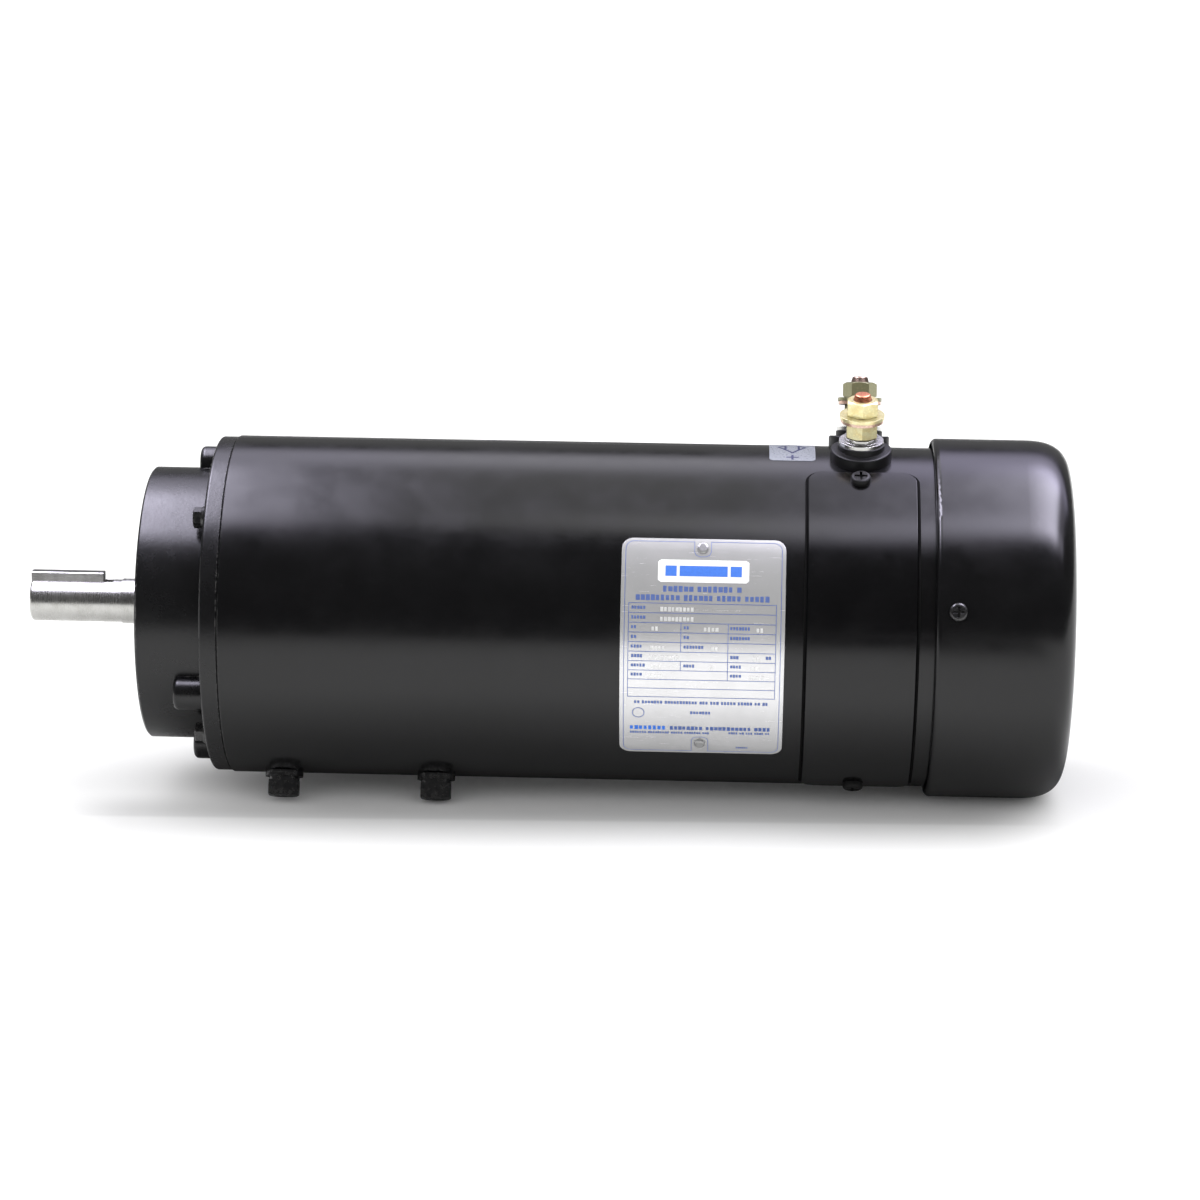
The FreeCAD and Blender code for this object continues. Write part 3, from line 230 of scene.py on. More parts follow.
def key_steel(name):
    """Bright drawn key bar with its marks running lengthwise."""
    n = Nodes(name)
    worn, normal = n.edge(0.3 * MM)
    lines = n.noise(0.4 * MM, 4.0, 0.7, n.stretched((0.03, 1.0, 1.0)))
    stain = n.noise(5 * MM, 4.0)
    base = n.mix(n.spread(stain, 0.35, 0.75), (0.40, 0.395, 0.39), (0.28, 0.275, 0.27))
    n.set("Base Color", n.mix(n.sum("MULTIPLY", worn, 0.8), base, (0.80, 0.80, 0.79)))
    n.set("Metallic", 1.0)
    n.set("Roughness", n.spread(lines, 0.3, 0.75, 0.20, 0.32))
    n.set("Normal", n.bump(lines, 0.5, 0.015 * MM, normal))
    return n.material


def plated(name, light, dark, metallic, low, high, shade_behind=None):
    """Plated hardware: patches of tint, tool marks and bright edges.

    The last argument is the colour of painted shade on whatever stands on the far side of the shaft.
    """
    n = Nodes(name)
    worn, normal = n.edge(0.25 * MM)
    patches = n.spread(n.noise(3.0 * MM, 3.0, 0.6, None, 0.6), 0.35, 0.68)
    base = n.mix(patches, light, dark)
    shine = tuple(min(1.0, 1.2 * c + 0.06) for c in light)
    base = n.mix(n.sum("MULTIPLY", worn, 0.6), base, shine)
    # Painted shade: parts on the far side of the shaft take a darker colour.
    if shade_behind:
        base = n.mix(n.spread(n.axis("Y"), -4 * MM, 4 * MM), base, shade_behind)
    # Painted shade: plated parts are darker where seen in reflections.
    shade_in_reflections = n.sum("MULTIPLY", n.ray("Is Glossy Ray"), 0.6)
    n.set("Base Color", n.mix(shade_in_reflections, base, (0.03, 0.03, 0.03)))
    n.set("Metallic", metallic)
    marks = n.noise(0.5 * MM, 4.0, 0.7)
    n.set("Roughness", n.spread(marks, 0.3, 0.75, low, high))
    n.set("Normal", n.bump(marks, 0.3, 0.006 * MM, normal))
    return n.material


def moulded(name, light, dark, roughness, grain_size, shine=0.5):
    """Moulded plastic or rubber with a fine moulding grain."""
    n = Nodes(name)
    n.set("Specular IOR Level", shine)
    worn, normal = n.edge(0.3 * MM)
    mottled = n.spread(n.noise(8 * MM, 4.0), 0.3, 0.75)
    base = n.mix(mottled, dark, light)
    rubbed = tuple(2.5 * c + 0.004 for c in light)
    n.set("Base Color", n.mix(n.sum("MULTIPLY", worn, 0.3), base, rubbed))
    grain = n.noise(grain_size, 3.0)
    n.set("Roughness", n.spread(grain, 0.3, 0.75, roughness - 0.07, roughness + 0.07))
    n.set("Normal", n.bump(grain, 0.5, 0.03 * MM, normal))
    return n.material


def nameplate_metal(name):
    """Brushed aluminium foil plate; the brushing runs along the plate's length."""
    n = Nodes(name)
    worn, normal = n.edge(0.15 * MM)
    brushed = n.noise(0.5 * MM, 5.0, 0.75, n.stretched((0.02, 1.0, 1.0)))
    patches = n.noise(14 * MM, 3.0)
    base = n.mix(n.spread(patches, 0.3, 0.75), (0.77, 0.77, 0.775), (0.72, 0.72, 0.725))
    n.set("Base Color", n.mix(n.sum("MULTIPLY", worn, 0.5), base, (0.85, 0.85, 0.86)))
    n.set("Metallic", 0.68)
    n.set("Roughness", n.spread(brushed, 0.3, 0.75, 0.22, 0.28))
    n.set("Normal", n.bump(brushed, 0.25, 0.010 * MM, normal))
    return n.material


def printed(name, light, dark, roughness):
    """Ink or film: small changes of density, with pinholes left unprinted."""
    n = Nodes(name)
    density = n.spread(n.noise(1.2 * MM, 4.0), 0.3, 0.75)
    n.set("Base Color", n.mix(density, light, dark))
    uneven = n.noise(0.8 * MM, 2.0)
    n.set("Roughness", n.spread(uneven, 0.3, 0.75, roughness - 0.06, roughness + 0.06))
    n.set("Normal", n.bump(n.noise(0.5 * MM, 2.0), 0.3, 0.01 * MM))
    return n.material


def rough_solid(name, light, dark, metallic, roughness, size):
    """Unseen inner parts: laminations, copper, ferrite, carbon and board."""
    n = Nodes(name)
    mottled = n.spread(n.noise(size, 4.0), 0.3, 0.75)
    n.set("Base Color", n.mix(mottled, light, dark))
    n.set("Metallic", metallic)
    n.set("Roughness", n.spread(mottled, 0.0, 1.0, roughness - 0.08, roughness + 0.08))
    n.set("Normal", n.bump(n.noise(0.3 * size, 3.0), 0.5, 0.05 * MM))
    return n.material


SHEET_PAINT = black_paint("sheet_paint", (0.0019, 0.0019, 0.0022), 0.19, 0.005 * MM, 0.5, 0.25)
CAST_PAINT = black_paint("cast_paint", (0.0026, 0.0026, 0.0030), 0.24, 0.020 * MM, 2.5, 0.8)
COVER_PAINT = black_paint("cover_paint", (0.0013, 0.0013, 0.0016), 0.17, 0.005 * MM, 0.5, 0.0, True)

MATERIALS = {
    "black_paint": SHEET_PAINT,
    "black_fastener": blackened_steel("black_oxide", 0.24),
    "ground_steel": turned_steel("ground_steel"),
    "bearing_steel": plated("bearing_steel", (0.70, 0.70, 0.70), (0.60, 0.60, 0.61),
        1.0, 0.10, 0.2),
    "spring_steel": plated("spring_steel", (0.40, 0.40, 0.41), (0.30, 0.30, 0.31), 1.0, 0.25, 0.4),
    "lamination_steel": rough_solid("laminations", (0.20, 0.20, 0.22), (0.12, 0.12, 0.13),
        0.8, 0.5, 4 * MM),
    "ferrite": rough_solid("ferrite", (0.05, 0.05, 0.052), (0.03, 0.03, 0.032), 0.0, 0.6, 5 * MM),
    "winding_copper": rough_solid("enamelled_wire", (0.42, 0.15, 0.06), (0.28, 0.09, 0.035),
        0.4, 0.4, 2 * MM),
    "bare_copper": plated("bare_copper", (0.75, 0.36, 0.22), (0.58, 0.25, 0.14), 1.0, 0.22, 0.4),
    # The last colour of stud_copper and of yellow_zinc is painted shade for parts on the far side of the
    # shaft.
    "stud_copper": plated("stud_copper", (0.80, 0.33, 0.19), (0.62, 0.20, 0.10),
        1.0, 0.22, 0.40, (0.30, 0.22, 0.17)),
    "holder_brass": plated("holder_brass", (0.75, 0.58, 0.28), (0.6, 0.43, 0.18), 1.0, 0.25, 0.4),
    "zinc_yellow": plated("yellow_zinc", (0.93, 0.87, 0.52), (0.86, 0.73, 0.36),
        0.62, 0.16, 0.30, (0.30, 0.29, 0.17)),
    "zinc_clear": plated("clear_zinc", (0.76, 0.76, 0.72), (0.68, 0.68, 0.65), 1.0, 0.20, 0.30),
    "carbon": rough_solid("carbon", (0.03, 0.03, 0.032), (0.018, 0.018, 0.02), 0.1, 0.55, 2 * MM),
    "phenolic": rough_solid("phenolic", (0.22, 0.11, 0.05), (0.15, 0.07, 0.03), 0.0, 0.45, 6 * MM),
    "black_moulding": moulded("black_moulding", (0.005, 0.005, 0.006), (0.003, 0.003, 0.003),
        0.42, 0.8 * MM, 0.36),
    "fan_plastic": moulded("fan_plastic", (0.022, 0.022, 0.023), (0.014, 0.014, 0.014),
        0.5, 1.0 * MM),
    "rubber": moulded("rubber", (0.004, 0.004, 0.004), (0.002, 0.002, 0.002), 0.85, 0.6 * MM, 0.08),
    "nameplate_metal": nameplate_metal("nameplate_metal"),
    "decal_film": printed("decal_film", (0.31, 0.325, 0.385), (0.27, 0.285, 0.345), 0.32),
}

NODE_MATERIALS = {
    "front_shield": CAST_PAINT,
    "rear_shield": CAST_PAINT,
    "brush_cover_right": COVER_PAINT,
    "brush_cover_left": COVER_PAINT,
    "shaft_key": key_steel("key_steel"),
    "brush_cover_screws": moulded("dull_screws", (0.006, 0.006, 0.006), (0.004, 0.004, 0.004),
        0.45, 0.8 * MM, 0.3),
    "fan_cover_screws": blackened_steel("fan_screws", 0.30),
    "nameplate_rivets": plated("rivet_aluminium", (0.50, 0.50, 0.50), (0.34, 0.34, 0.34),
        0.8, 0.3, 0.45),
    "terminal_lock_washers": plated("pink_zinc", (0.84, 0.62, 0.50), (0.70, 0.44, 0.32),
        0.7, 0.18, 0.32),
}


def dress_cad_nodes():
    """Give each CAD node the material of its slot, or its own where it has one."""
    slots = {part["node"]: part["material_slot"] for part in frame["record"]["subparts"]}
    for node, item in frame["nodes"].items():
        material = NODE_MATERIALS.get(node, MATERIALS[slots[node]])
        item.data.materials.clear()
        item.data.materials.append(material)
        for face in item.data.polygons:
            face.material_index = 0


dress_cad_nodes()

# ---------------------------------------------------------------- printing on curved sheets


def on_cylinder(x, height, radius):
    """Point on the near side of a cylinder about the shaft, `height` metres of arc above -Y."""
    a = height / radius
    return Vector((x, -radius * math.cos(a), radius * math.sin(a)))


class Print:
    """A set of thin closed patches wrapped round the tube, gathered in one object."""

    def __init__(self, name, radius, material, slot):
        self.name = name
        self.radius = radius
        self.material = material
        self.slot = slot
        self.mesh = bmesh.new()

    def patch(self, corners):
        """Closed thin patch over a flat outline of (x, height) points, listed in order."""
        top = [self.mesh.verts.new(on_cylinder(x, h, self.radius + PRINT_HEIGHT)) for x, h in corners]
        low = [self.mesh.verts.new(on_cylinder(x, h, self.radius)) for x, h in corners]
        self.mesh.faces.new(top)
        self.mesh.faces.new(low[::-1])
        count = len(corners)
        for i in range(count):
            j = (i + 1) % count
            self.mesh.faces.new((low[i], low[j], top[j], top[i]))

    def bar(self, x0, x1, h0, h1):
        """Rectangle, cut into strips so that it follows the curve."""
        strips = max(1, math.ceil(abs(h1 - h0) / (3 * MM)))
        for n in range(strips):
            low = h0 + (h1 - h0) * n / strips
            high = h0 + (h1 - h0) * (n + 1) / strips
            self.patch([(x0, low), (x1, low), (x1, high), (x0, high)])

    def line(self, points, width):
        """Open or closed polyline drawn with short rectangles and mitred by overlap."""
        for (xa, ha), (xb, hb) in zip(points, points[1:]):
            length = math.hypot(xb - xa, hb - ha)
            steps = max(1, math.ceil(abs(hb - ha) / (3 * MM)))
            ux = (xb - xa) / length * width / 2
            uh = (hb - ha) / length * width / 2
            for n in range(steps):
                t0 = n / steps
                t1 = (n + 1) / steps
                ax = xa + (xb - xa) * t0 - (ux if n == 0 else 0)
                ah = ha + (hb - ha) * t0 - (uh if n == 0 else 0)
                bx = xa + (xb - xa) * t1 + (ux if n == steps - 1 else 0)
                bh = ha + (hb - ha) * t1 + (uh if n == steps - 1 else 0)
                self.patch([(ax + uh, ah - ux), (bx + uh, bh - ux), (bx - uh, bh + ux), (ax - uh, ah + ux)])

    def finish(self, body):
        bmesh.ops.recalc_face_normals(self.mesh, faces=self.mesh.faces)
        data = bpy.data.meshes.new(self.name)
        self.mesh.to_mesh(data)
        self.mesh.free()
        data.materials.append(self.material)
        item = bpy.data.objects.new(self.name, data)
        bpy.context.scene.collection.objects.link(item)
        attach(item, body)
        return item


def rounded_outline(x0, x1, h0, h1, corner, steps=6):
    """Closed rounded rectangle as (x, height) points."""
    points = []
    for cx, ch, start in ((x1 - corner, h0 + corner, -90), (x1 - corner, h1 - corner, 0),
                          (x0 + corner, h1 - corner, 90), (x0 + corner, h0 + corner, 180)):
        for n in range(steps + 1):
            a = math.radians(start + 90 * n / steps)
            points.append((cx + corner * math.cos(a), ch + corner * math.sin(a)))
    return points


# ---------------------------------------------------------------- nameplate print

plate_low, plate_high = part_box("nameplate")
PLATE_X = (plate_low.x + plate_high.x) / 2
PLATE_R = max((v.co.yz.length for v in frame["nodes"]["nameplate"].data.vertices))
plate_angles = [math.atan2(v.co.z, -v.co.y) for v in frame["nodes"]["nameplate"].data.vertices]
PLATE_H = (min(plate_angles) + max(plate_angles)) / 2 * PLATE_R
PLATE_HALF_X = (plate_high.x - plate_low.x) / 2
PLATE_HALF_H = (max(plate_angles) - min(plate_angles)) / 2 * PLATE_R

LINE = 0.26 * MM
BORDER_INSET = 1.7 * MM
TABLE_X = (-31.4 * MM, 31.1 * MM)
TABLE_ROWS = [(22.6 - 4.145 * n) * MM for n in range(11)]
TABLE_COLUMNS = (-9.1 * MM, 10.9 * MM)

ink = printed("blue_ink", (0.055, 0.10, 0.30), (0.075, 0.125, 0.34), 0.42)
ink_bright = printed("bright_blue_ink", (0.03, 0.15, 0.62), (0.035, 0.17, 0.68), 0.4)
ink_white = printed("white_ink", (0.86, 0.86, 0.87), (0.80, 0.80, 0.82), 0.4)
stamped = plated("stamped_mark", (0.84, 0.84, 0.83), (0.74, 0.74, 0.74), 0.5, 0.35, 0.5)


def on_plate(u, v):
    """Plate position (across, up from its middle) as an (x, height) point on the tube."""
    return PLATE_X + u, PLATE_H + v


def plate_bar(target, u0, u1, v0, v1):
    x0, h0 = on_plate(u0, v0)
    x1, h1 = on_plate(u1, v1)
    target.bar(x0, x1, h0, h1)


def plate_line(target, points, width=LINE):
    target.line([on_plate(u, v) for u, v in points], width)


def dashes(target, u0, u1, middle, height, seed, words):
    """A line of lettering stood for by plain blocks, grouped like words."""
    picker = random.Random(seed)
    pitch = 0.85 * height
    u = u0
    letters_left = words[0]
    rest = list(words[1:])
    while u + 0.55 * pitch < u1:
        if letters_left == 0:
            u += 0.6 * pitch
            letters_left = rest.pop(0) if rest else words[0]
            continue
        width = pitch * picker.choice((0.66, 0.74, 0.82))
        lean = height * picker.choice((0.42, 0.46, 0.5))
        plate_bar(target, u, min(u + width, u1), middle - lean, middle + lean)
        u += pitch
        letters_left -= 1


def print_nameplate():
    top = PLATE_R + PRINT_HEIGHT / 4
    lines = Print("nameplate_lines", top, ink, "nameplate_metal")
    edge_u = PLATE_HALF_X - BORDER_INSET
    edge_v = PLATE_HALF_H - BORDER_INSET + 0.3 * MM
    corner = 3.4 * MM
    outline = rounded_outline(-edge_u, edge_u, -edge_v, edge_v, corner)
    notch_u = (-4.0 * MM, 3.1 * MM)
    notch_v = (43.0 * MM, -40.4 * MM)
    split = len(outline) // 4
    plate_line(lines, outline[:split * 2] + [(notch_u[1], edge_v)])
    plate_line(lines, [(notch_u[0], edge_v)] + outline[split * 2:] + [(notch_u[0], -edge_v)])
    plate_line(lines, [(notch_u[1], -edge_v), outline[0]])
    for edge, end in zip((edge_v, -edge_v), notch_v):
        step = math.copysign(2.2 * MM, edge)
        plate_line(lines, [
            (notch_u[0], edge), (notch_u[0], end + step), (notch_u[0] + 0.7 * MM, end + 0.3 * step),
            (notch_u[0] + 2.3 * MM, end), (notch_u[1] - 2.3 * MM, end),
            (notch_u[1] - 0.7 * MM, end + 0.3 * step), (notch_u[1], end + step), (notch_u[1], edge)])
    for v in TABLE_ROWS:
        plate_line(lines, [(TABLE_X[0], v), (TABLE_X[1], v)])
    for u in TABLE_X:
        plate_line(lines, [(u, TABLE_ROWS[0]), (u, TABLE_ROWS[-1])])
    plate_line(lines, [(TABLE_COLUMNS[0], TABLE_ROWS[2]), (TABLE_COLUMNS[0], TABLE_ROWS[5])])
    plate_line(lines, [(TABLE_COLUMNS[0], TABLE_ROWS[6]), (TABLE_COLUMNS[0], TABLE_ROWS[7])])
    plate_line(lines, [(TABLE_COLUMNS[1], TABLE_ROWS[2]), (TABLE_COLUMNS[1], TABLE_ROWS[8])])
    ring = [(-26.8 * MM + 2.5 * MM * math.cos(a), -27.0 * MM + 2.5 * MM * math.sin(a))
            for a in (math.tau * n / 20 for n in range(21))]
    plate_line(lines, ring, 0.32 * MM)
    lines.finish("housing")

    words = Print("nameplate_words", top, ink, "nameplate_metal")
    dashes(words, -17.0 * MM, 16.6 * MM, 28.8 * MM, 2.6 * MM, 3, (6, 7))
    dashes(words, -28.5 * MM, 28.2 * MM, 25.0 * MM, 2.5 * MM, 5, (9, 6, 5))
    cells = (
        (0, -30.2, -23.6), (1, -30.2, -23.7), (2, -30.2, -27.4), (3, -30.2, -27.4),
        (2, -7.9, -5.3), (3, -7.9, -5.3), (2, 11.8, 20.8), (3, 11.8, 20.8),
        (4, -30.2, -25.3), (5, -30.0, -25.4), (6, -30.1, -23.8), (7, -30.1, -24.6),
        (4, -7.8, 1.5), (6, -7.8, -3.1), (5, 12.0, 16.1), (6, 12.0, 17.6), (7, 12.0, 16.8), (5, 27.0, 29.5))
    for row, u0, u1 in cells:
        middle = (TABLE_ROWS[row] + TABLE_ROWS[row + 1]) / 2 + 0.15 * MM
        dashes(words, u0 * MM, u1 * MM, middle, 1.45 * MM, row, (7, 5))
    dashes(words, -28.5 * MM, 28.2 * MM, -21.5 * MM, 1.5 * MM, 8, (2, 7, 11, 3, 3, 5, 5))
    dashes(words, -4.6 * MM, 4.0 * MM, -26.6 * MM, 1.5 * MM, 9, (7,))
    dashes(words, -13.2 * MM, 30.2 * MM, -35.2 * MM, 2.1 * MM, 11, (8, 11))
    dashes(words, -30.3 * MM, 3.8 * MM, -38.0 * MM, 1.2 * MM, 12, (7, 9, 5))
    dashes(words, 11.9 * MM, 29.2 * MM, -37.7 * MM, 1.2 * MM, 13, (4, 2, 3))
    dashes(words, 15.2 * MM, 20.4 * MM, -46.9 * MM, 1.0 * MM, 14, (6,))
    words.finish("housing")

    badge = Print("nameplate_badge", top, ink_white, "nameplate_metal")
    for u0, u1, reach in ((-19.3, -18.95, 4.0), (-18.95, -18.3, 4.5), (-18.3, 18.3, 4.9),
                          (18.3, 18.95, 4.5), (18.95, 19.3, 4.0)):
        plate_bar(badge, u0 * MM, u1 * MM, (36.6 - reach) * MM, (36.6 + reach) * MM)
    badge.finish("housing")

    mark = Print("nameplate_mark", top + PRINT_HEIGHT, ink_bright, "nameplate_metal")
    for u0, u1 in ((-16.2, -11.4), (-10.2, 10.2), (11.4, 16.2)):
        plate_bar(mark, u0 * MM, u1 * MM, 34.3 * MM, 38.9 * MM)
    mark.finish("housing")

    bold = Print("nameplate_bold_words", top, ink_bright, "nameplate_metal")
    dashes(bold, -30.3 * MM, -14.2 * MM, -35.2 * MM, 2.3 * MM, 15, (9,))
    bold.finish("housing")

    stamps = Print("nameplate_stamps", top, stamped, "nameplate_metal")
    values = (
        (0, -18.0, -3.6), (1, -18.0, -2.0), (2, -21.6, -17.6), (2, 0.6, 6.8), (2, 22.9, 26.3),
        (4, -21.8, -16.0), (4, 3.8, 6.6), (5, -22.4, -9.0), (5, 21.6, 25.0), (6, -21.7, -16.0),
        (6, 3.3, 5.7), (6, 21.0, 24.6), (7, -23.0, -17.2), (7, 20.3, 27.0))
    for row, u0, u1 in values:
        middle = (TABLE_ROWS[row] + TABLE_ROWS[row + 1]) / 2 - 0.45 * MM
        dashes(stamps, u0 * MM, u1 * MM, middle, 1.9 * MM, row + 20, (9,))
    stamps.finish("housing")


print_nameplate()

# ---------------------------------------------------------------- decal print

decal_low, decal_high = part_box("polarity_decal")
DECAL_X = (decal_low.x + decal_high.x) / 2
DECAL_R = max(v.co.yz.length for v in frame["nodes"]["polarity_decal"].data.vertices)
ARROW_HALF = 5.6 * MM
ARROW_END = 0.4
ARROW_TIP = 7.6
SIGN_ANGLE = 11.9


def print_decal():
    """A two-headed arrow across the top and a sign at each end."""
    ink_dark = printed("decal_ink", (0.018, 0.022, 0.085), (0.028, 0.034, 0.12), 0.4)
    decal = Print("decal_arrow", DECAL_R + PRINT_HEIGHT / 4, ink_dark, "decal_film")
    width = 0.95 * MM
    for side in (-1, 1):
        def place(u, degrees):
            return DECAL_X + u, math.radians(90 - side * degrees) * DECAL_R
        decal.line([place(-ARROW_HALF, ARROW_END), place(0, ARROW_TIP)], width)
        decal.line([place(ARROW_HALF, ARROW_END), place(0, ARROW_TIP)], width)
        decal.line([place(-2.9 * MM, 0.0), place(-2.9 * MM, 2.7)], width)
        decal.line([place(2.9 * MM, 0.0), place(2.9 * MM, 2.7)], width)
        decal.line([place(-2.2 * MM, SIGN_ANGLE), place(2.2 * MM, SIGN_ANGLE)], width)
    decal.line([(DECAL_X, math.radians(90 - SIGN_ANGLE - 1.7) * DECAL_R),
                (DECAL_X, math.radians(90 - SIGN_ANGLE + 1.7) * DECAL_R)], width)
    decal.finish("housing")


print_decal()

# ---------------------------------------------------------------- floor, light and camera

CAMERA_YAW = -1.977
CAMERA_PITCH = 12.0
CAMERA_ROLL = 0.753
CAMERA_DISTANCE = 1.69235
CAMERA_SHIFT = (0.19797, 0.00061)
CAMERA_LENS = 114.17
SENSOR = 36.0

FLOOR_LOW = (127.9 * MM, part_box("foot_bolts")[0].z)
FLOOR_HIGH = (375.0 * MM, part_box("fan_cover")[0].z)
FLOOR_CLEARANCE = 0.2 * MM
FLOOR_MIDDLE_X = 0.17
FLOOR_REACH = 12.0

# Brightness of the soft surroundings and of the dark room, from the front (0) to the back (1).
AMBIENT = 2.2
AMBIENT_STOPS = ((0.0, 0.95), (0.34, 0.62), (0.42, 1.0), (0.68, 1.0), (0.76, 0.05))
ROOM_STOPS = ((0.0, 0.041), (0.6, 0.09), (0.95, 0.22))

# Painted brightness of the floor as seen in reflections: painted light where lit, painted shade far in
# front of the motor and beneath it. Each change runs from one place to another across the floor (Y) or
# along the motor (X).
FLOOR_IN_REFLECTIONS = 0.80
FLOOR_FAR_IN_REFLECTIONS = 0.05
FLOOR_SHADE_UNDER_IN_REFLECTIONS = 0.04
FLOOR_FADE = (-0.85, -0.22)
FLOOR_SHADE_UNDER = (-0.14, 0.03)
FLOOR_SHADE_UNDER_ENDS = ((-0.03, 0.03), (0.46, 0.41))
FLOOR_BESIDE_ENDS = ((0.50, 0.70), (1.4, 1.0))

# Painted shadow on the floor close to the motor, seen by the camera only: from and to a place across it,
# and the shades there.
SHADE_EDGE = -0.0555
SHADE_BLUR = 3 * MM
SHADE_INSIDE = (-0.048, -0.012, 0.68, 1.0)
SHADE_OUTSIDE = (-0.155, -0.06, 1.0, 0.80)
SHADE_ENDS = ((-0.05, 0.0), (0.41, 0.36))

# Softbox: a curved sheet about the shaft's line. Lifts are degrees above the front.
SOFTBOX_RADIUS = 1.1
SOFTBOX_X = (-1.3, 1.7)
SOFTBOX_LIFT = (58.5, 147.0)
SOFTBOX_GRID = (90, 40)
FRONT_BLUR = 14.0
BACK_EDGE_LIFT = (147, 131)
DIP_DEPTH = 7.5
DIP_X = 0.345
DIP_REACH = 0.06
SHAFT_RISE = 0.5
SHAFT_RISE_X = (-0.160, -0.185)

# Its brightness: even, brighter at the back, at the left and right ends and along the front.
EVEN_LEVEL = 0.95
EVEN_RISE = 0.08
EVEN_RISE_X = (0.05, 0.25)
BACK_RISE = 0.95
BACK_LIFT = (112, 126)
LEFT_LEVEL = 14.0
LEFT_X = -0.15
LEFT_FALL = 0.028
LEFT_LIFT = (128, 104)
LEFT_END_X = (-0.62, -0.42)
RIGHT_LEVEL = 7.6
RIGHT_RISE = 2.0
RIGHT_RISE_X = (0.55, 0.80)
RIGHT_START = 0.41
RIGHT_X = 0.38
RIGHT_GROWTH = 0.045
RIGHT_LIFT = (132, 112)
RIGHT_END_X = (1.28, 0.95)
FRONT_LEVEL = 2.0
FRONT_X = (0.0, 0.38)
FRONT_LIFT = (84, 70)
COOL_SHIFT = (0.0, -0.035, 0.17)
COOL_LEFT_X = (0.06, -0.03)
COOL_RIGHT_X = (0.27, 0.36)
COOL_BACK = 0.5
COOL_BACK_LIFT = (104, 122)


def turn(degrees, axis):
    return Matrix.Rotation(math.radians(degrees), 3, axis)


def add_camera():
    """Camera turned about Z, tipped down, rolled a little and moved sideways in its own plane."""
    to_camera = turn(CAMERA_ROLL, "Y") @ turn(CAMERA_PITCH, "X") @ turn(CAMERA_YAW, "Z")
    side, depth, top = (Vector(row) for row in to_camera)
    data = bpy.data.cameras.new("camera")
    data.lens = CAMERA_LENS
    data.sensor_width = SENSOR
    data.clip_start = 0.01
    data.clip_end = 100
    item = bpy.data.objects.new("camera", data)
    bpy.context.scene.collection.objects.link(item)
    pose = Matrix((side, top, -depth)).transposed().to_4x4()
    pose.translation = side * CAMERA_SHIFT[0] + top * CAMERA_SHIFT[1] - depth * CAMERA_DISTANCE
    item.matrix_world = pose
    bpy.context.scene.camera = item


def add_floor():
    """White floor that the right foot bolt and the fan cover rest on, with a painted shadow near the motor
    for the camera and painted light and shade in reflections.
    """
    slope = (FLOOR_HIGH[1] - FLOOR_LOW[1]) / (FLOOR_HIGH[0] - FLOOR_LOW[0])
    middle_x = FLOOR_MIDDLE_X
    middle_z = FLOOR_LOW[1] + slope * (middle_x - FLOOR_LOW[0]) - FLOOR_CLEARANCE
    reach = FLOOR_REACH
    data = bpy.data.meshes.new("floor")
    low_end = (middle_x - reach, middle_z - slope * reach)
    high_end = (middle_x + reach, middle_z + slope * reach)
    corners = ((low_end, -reach), (high_end, -reach), (high_end, reach), (low_end, reach))
    data.from_pydata([(x, y, z) for (x, z), y in corners], [], [(0, 1, 2, 3)])
    n = Nodes("floor_paper_painted_shade")
    paper = n.mix(n.noise(0.3, 2.0), (0.94, 0.94, 0.945), (0.96, 0.96, 0.96))
    x, y = n.axis("X"), n.axis("Y")

    def between(start, end):
        """1 between two ends along X, each given as (0 there, 1 there)."""
        return n.sum("MULTIPLY", n.spread(x, *start), n.spread(x, *end))

    # Painted shadow: the paper seen by the camera is darkened in a band close to the motor.
    near = n.spread(y, *SHADE_INSIDE)
    far = n.spread(y, *SHADE_OUTSIDE)
    shade = n.mix(n.spread(y, SHADE_EDGE - SHADE_BLUR, SHADE_EDGE + SHADE_BLUR), far, near)
    shade = n.mix(between(*SHADE_ENDS), (1.0, 1.0, 1.0), shade)
    paper = n.mix(shade, (0.0, 0.0, 0.0), paper)
    # Painted light and shade for reflections: the floor's colour there is bright where lit and dark far in
    # front of the motor and beneath it.
    lit = n.sum("MAXIMUM", n.spread(y, *FLOOR_FADE), between(*FLOOR_BESIDE_ENDS))
    reflected = n.mix(lit, (FLOOR_FAR_IN_REFLECTIONS,) * 3, (FLOOR_IN_REFLECTIONS,) * 3)
    shade_under = n.sum("MULTIPLY", n.spread(y, *FLOOR_SHADE_UNDER), between(*FLOOR_SHADE_UNDER_ENDS))
    reflected = n.mix(shade_under, reflected, (FLOOR_SHADE_UNDER_IN_REFLECTIONS,) * 3)
    n.set("Base Color", n.mix(n.ray("Is Camera Ray"), reflected, paper))
    n.set("Roughness", n.spread(n.noise(0.01, 3.0), 0.3, 0.7, 0.75, 0.85))
    n.set("Specular IOR Level", 0.1)
    data.materials.append(n.material)
    item = bpy.data.objects.new("floor", data)
    bpy.context.scene.collection.objects.link(item)


def ramp(tree, value, stops):
    """Colour ramp of greys over a value between 0 and 1."""
    node = tree.nodes.new("ShaderNodeValToRGB")
    elements = node.color_ramp.elements
    while len(elements) < len(stops):
        elements.new(1.0)
    for element, (place, grey) in zip(elements, stops):
        element.position = place
        element.color = (grey, grey, grey, 1.0)
    tree.links.new(value, node.inputs["Fac"])
    return node.outputs["Color"]


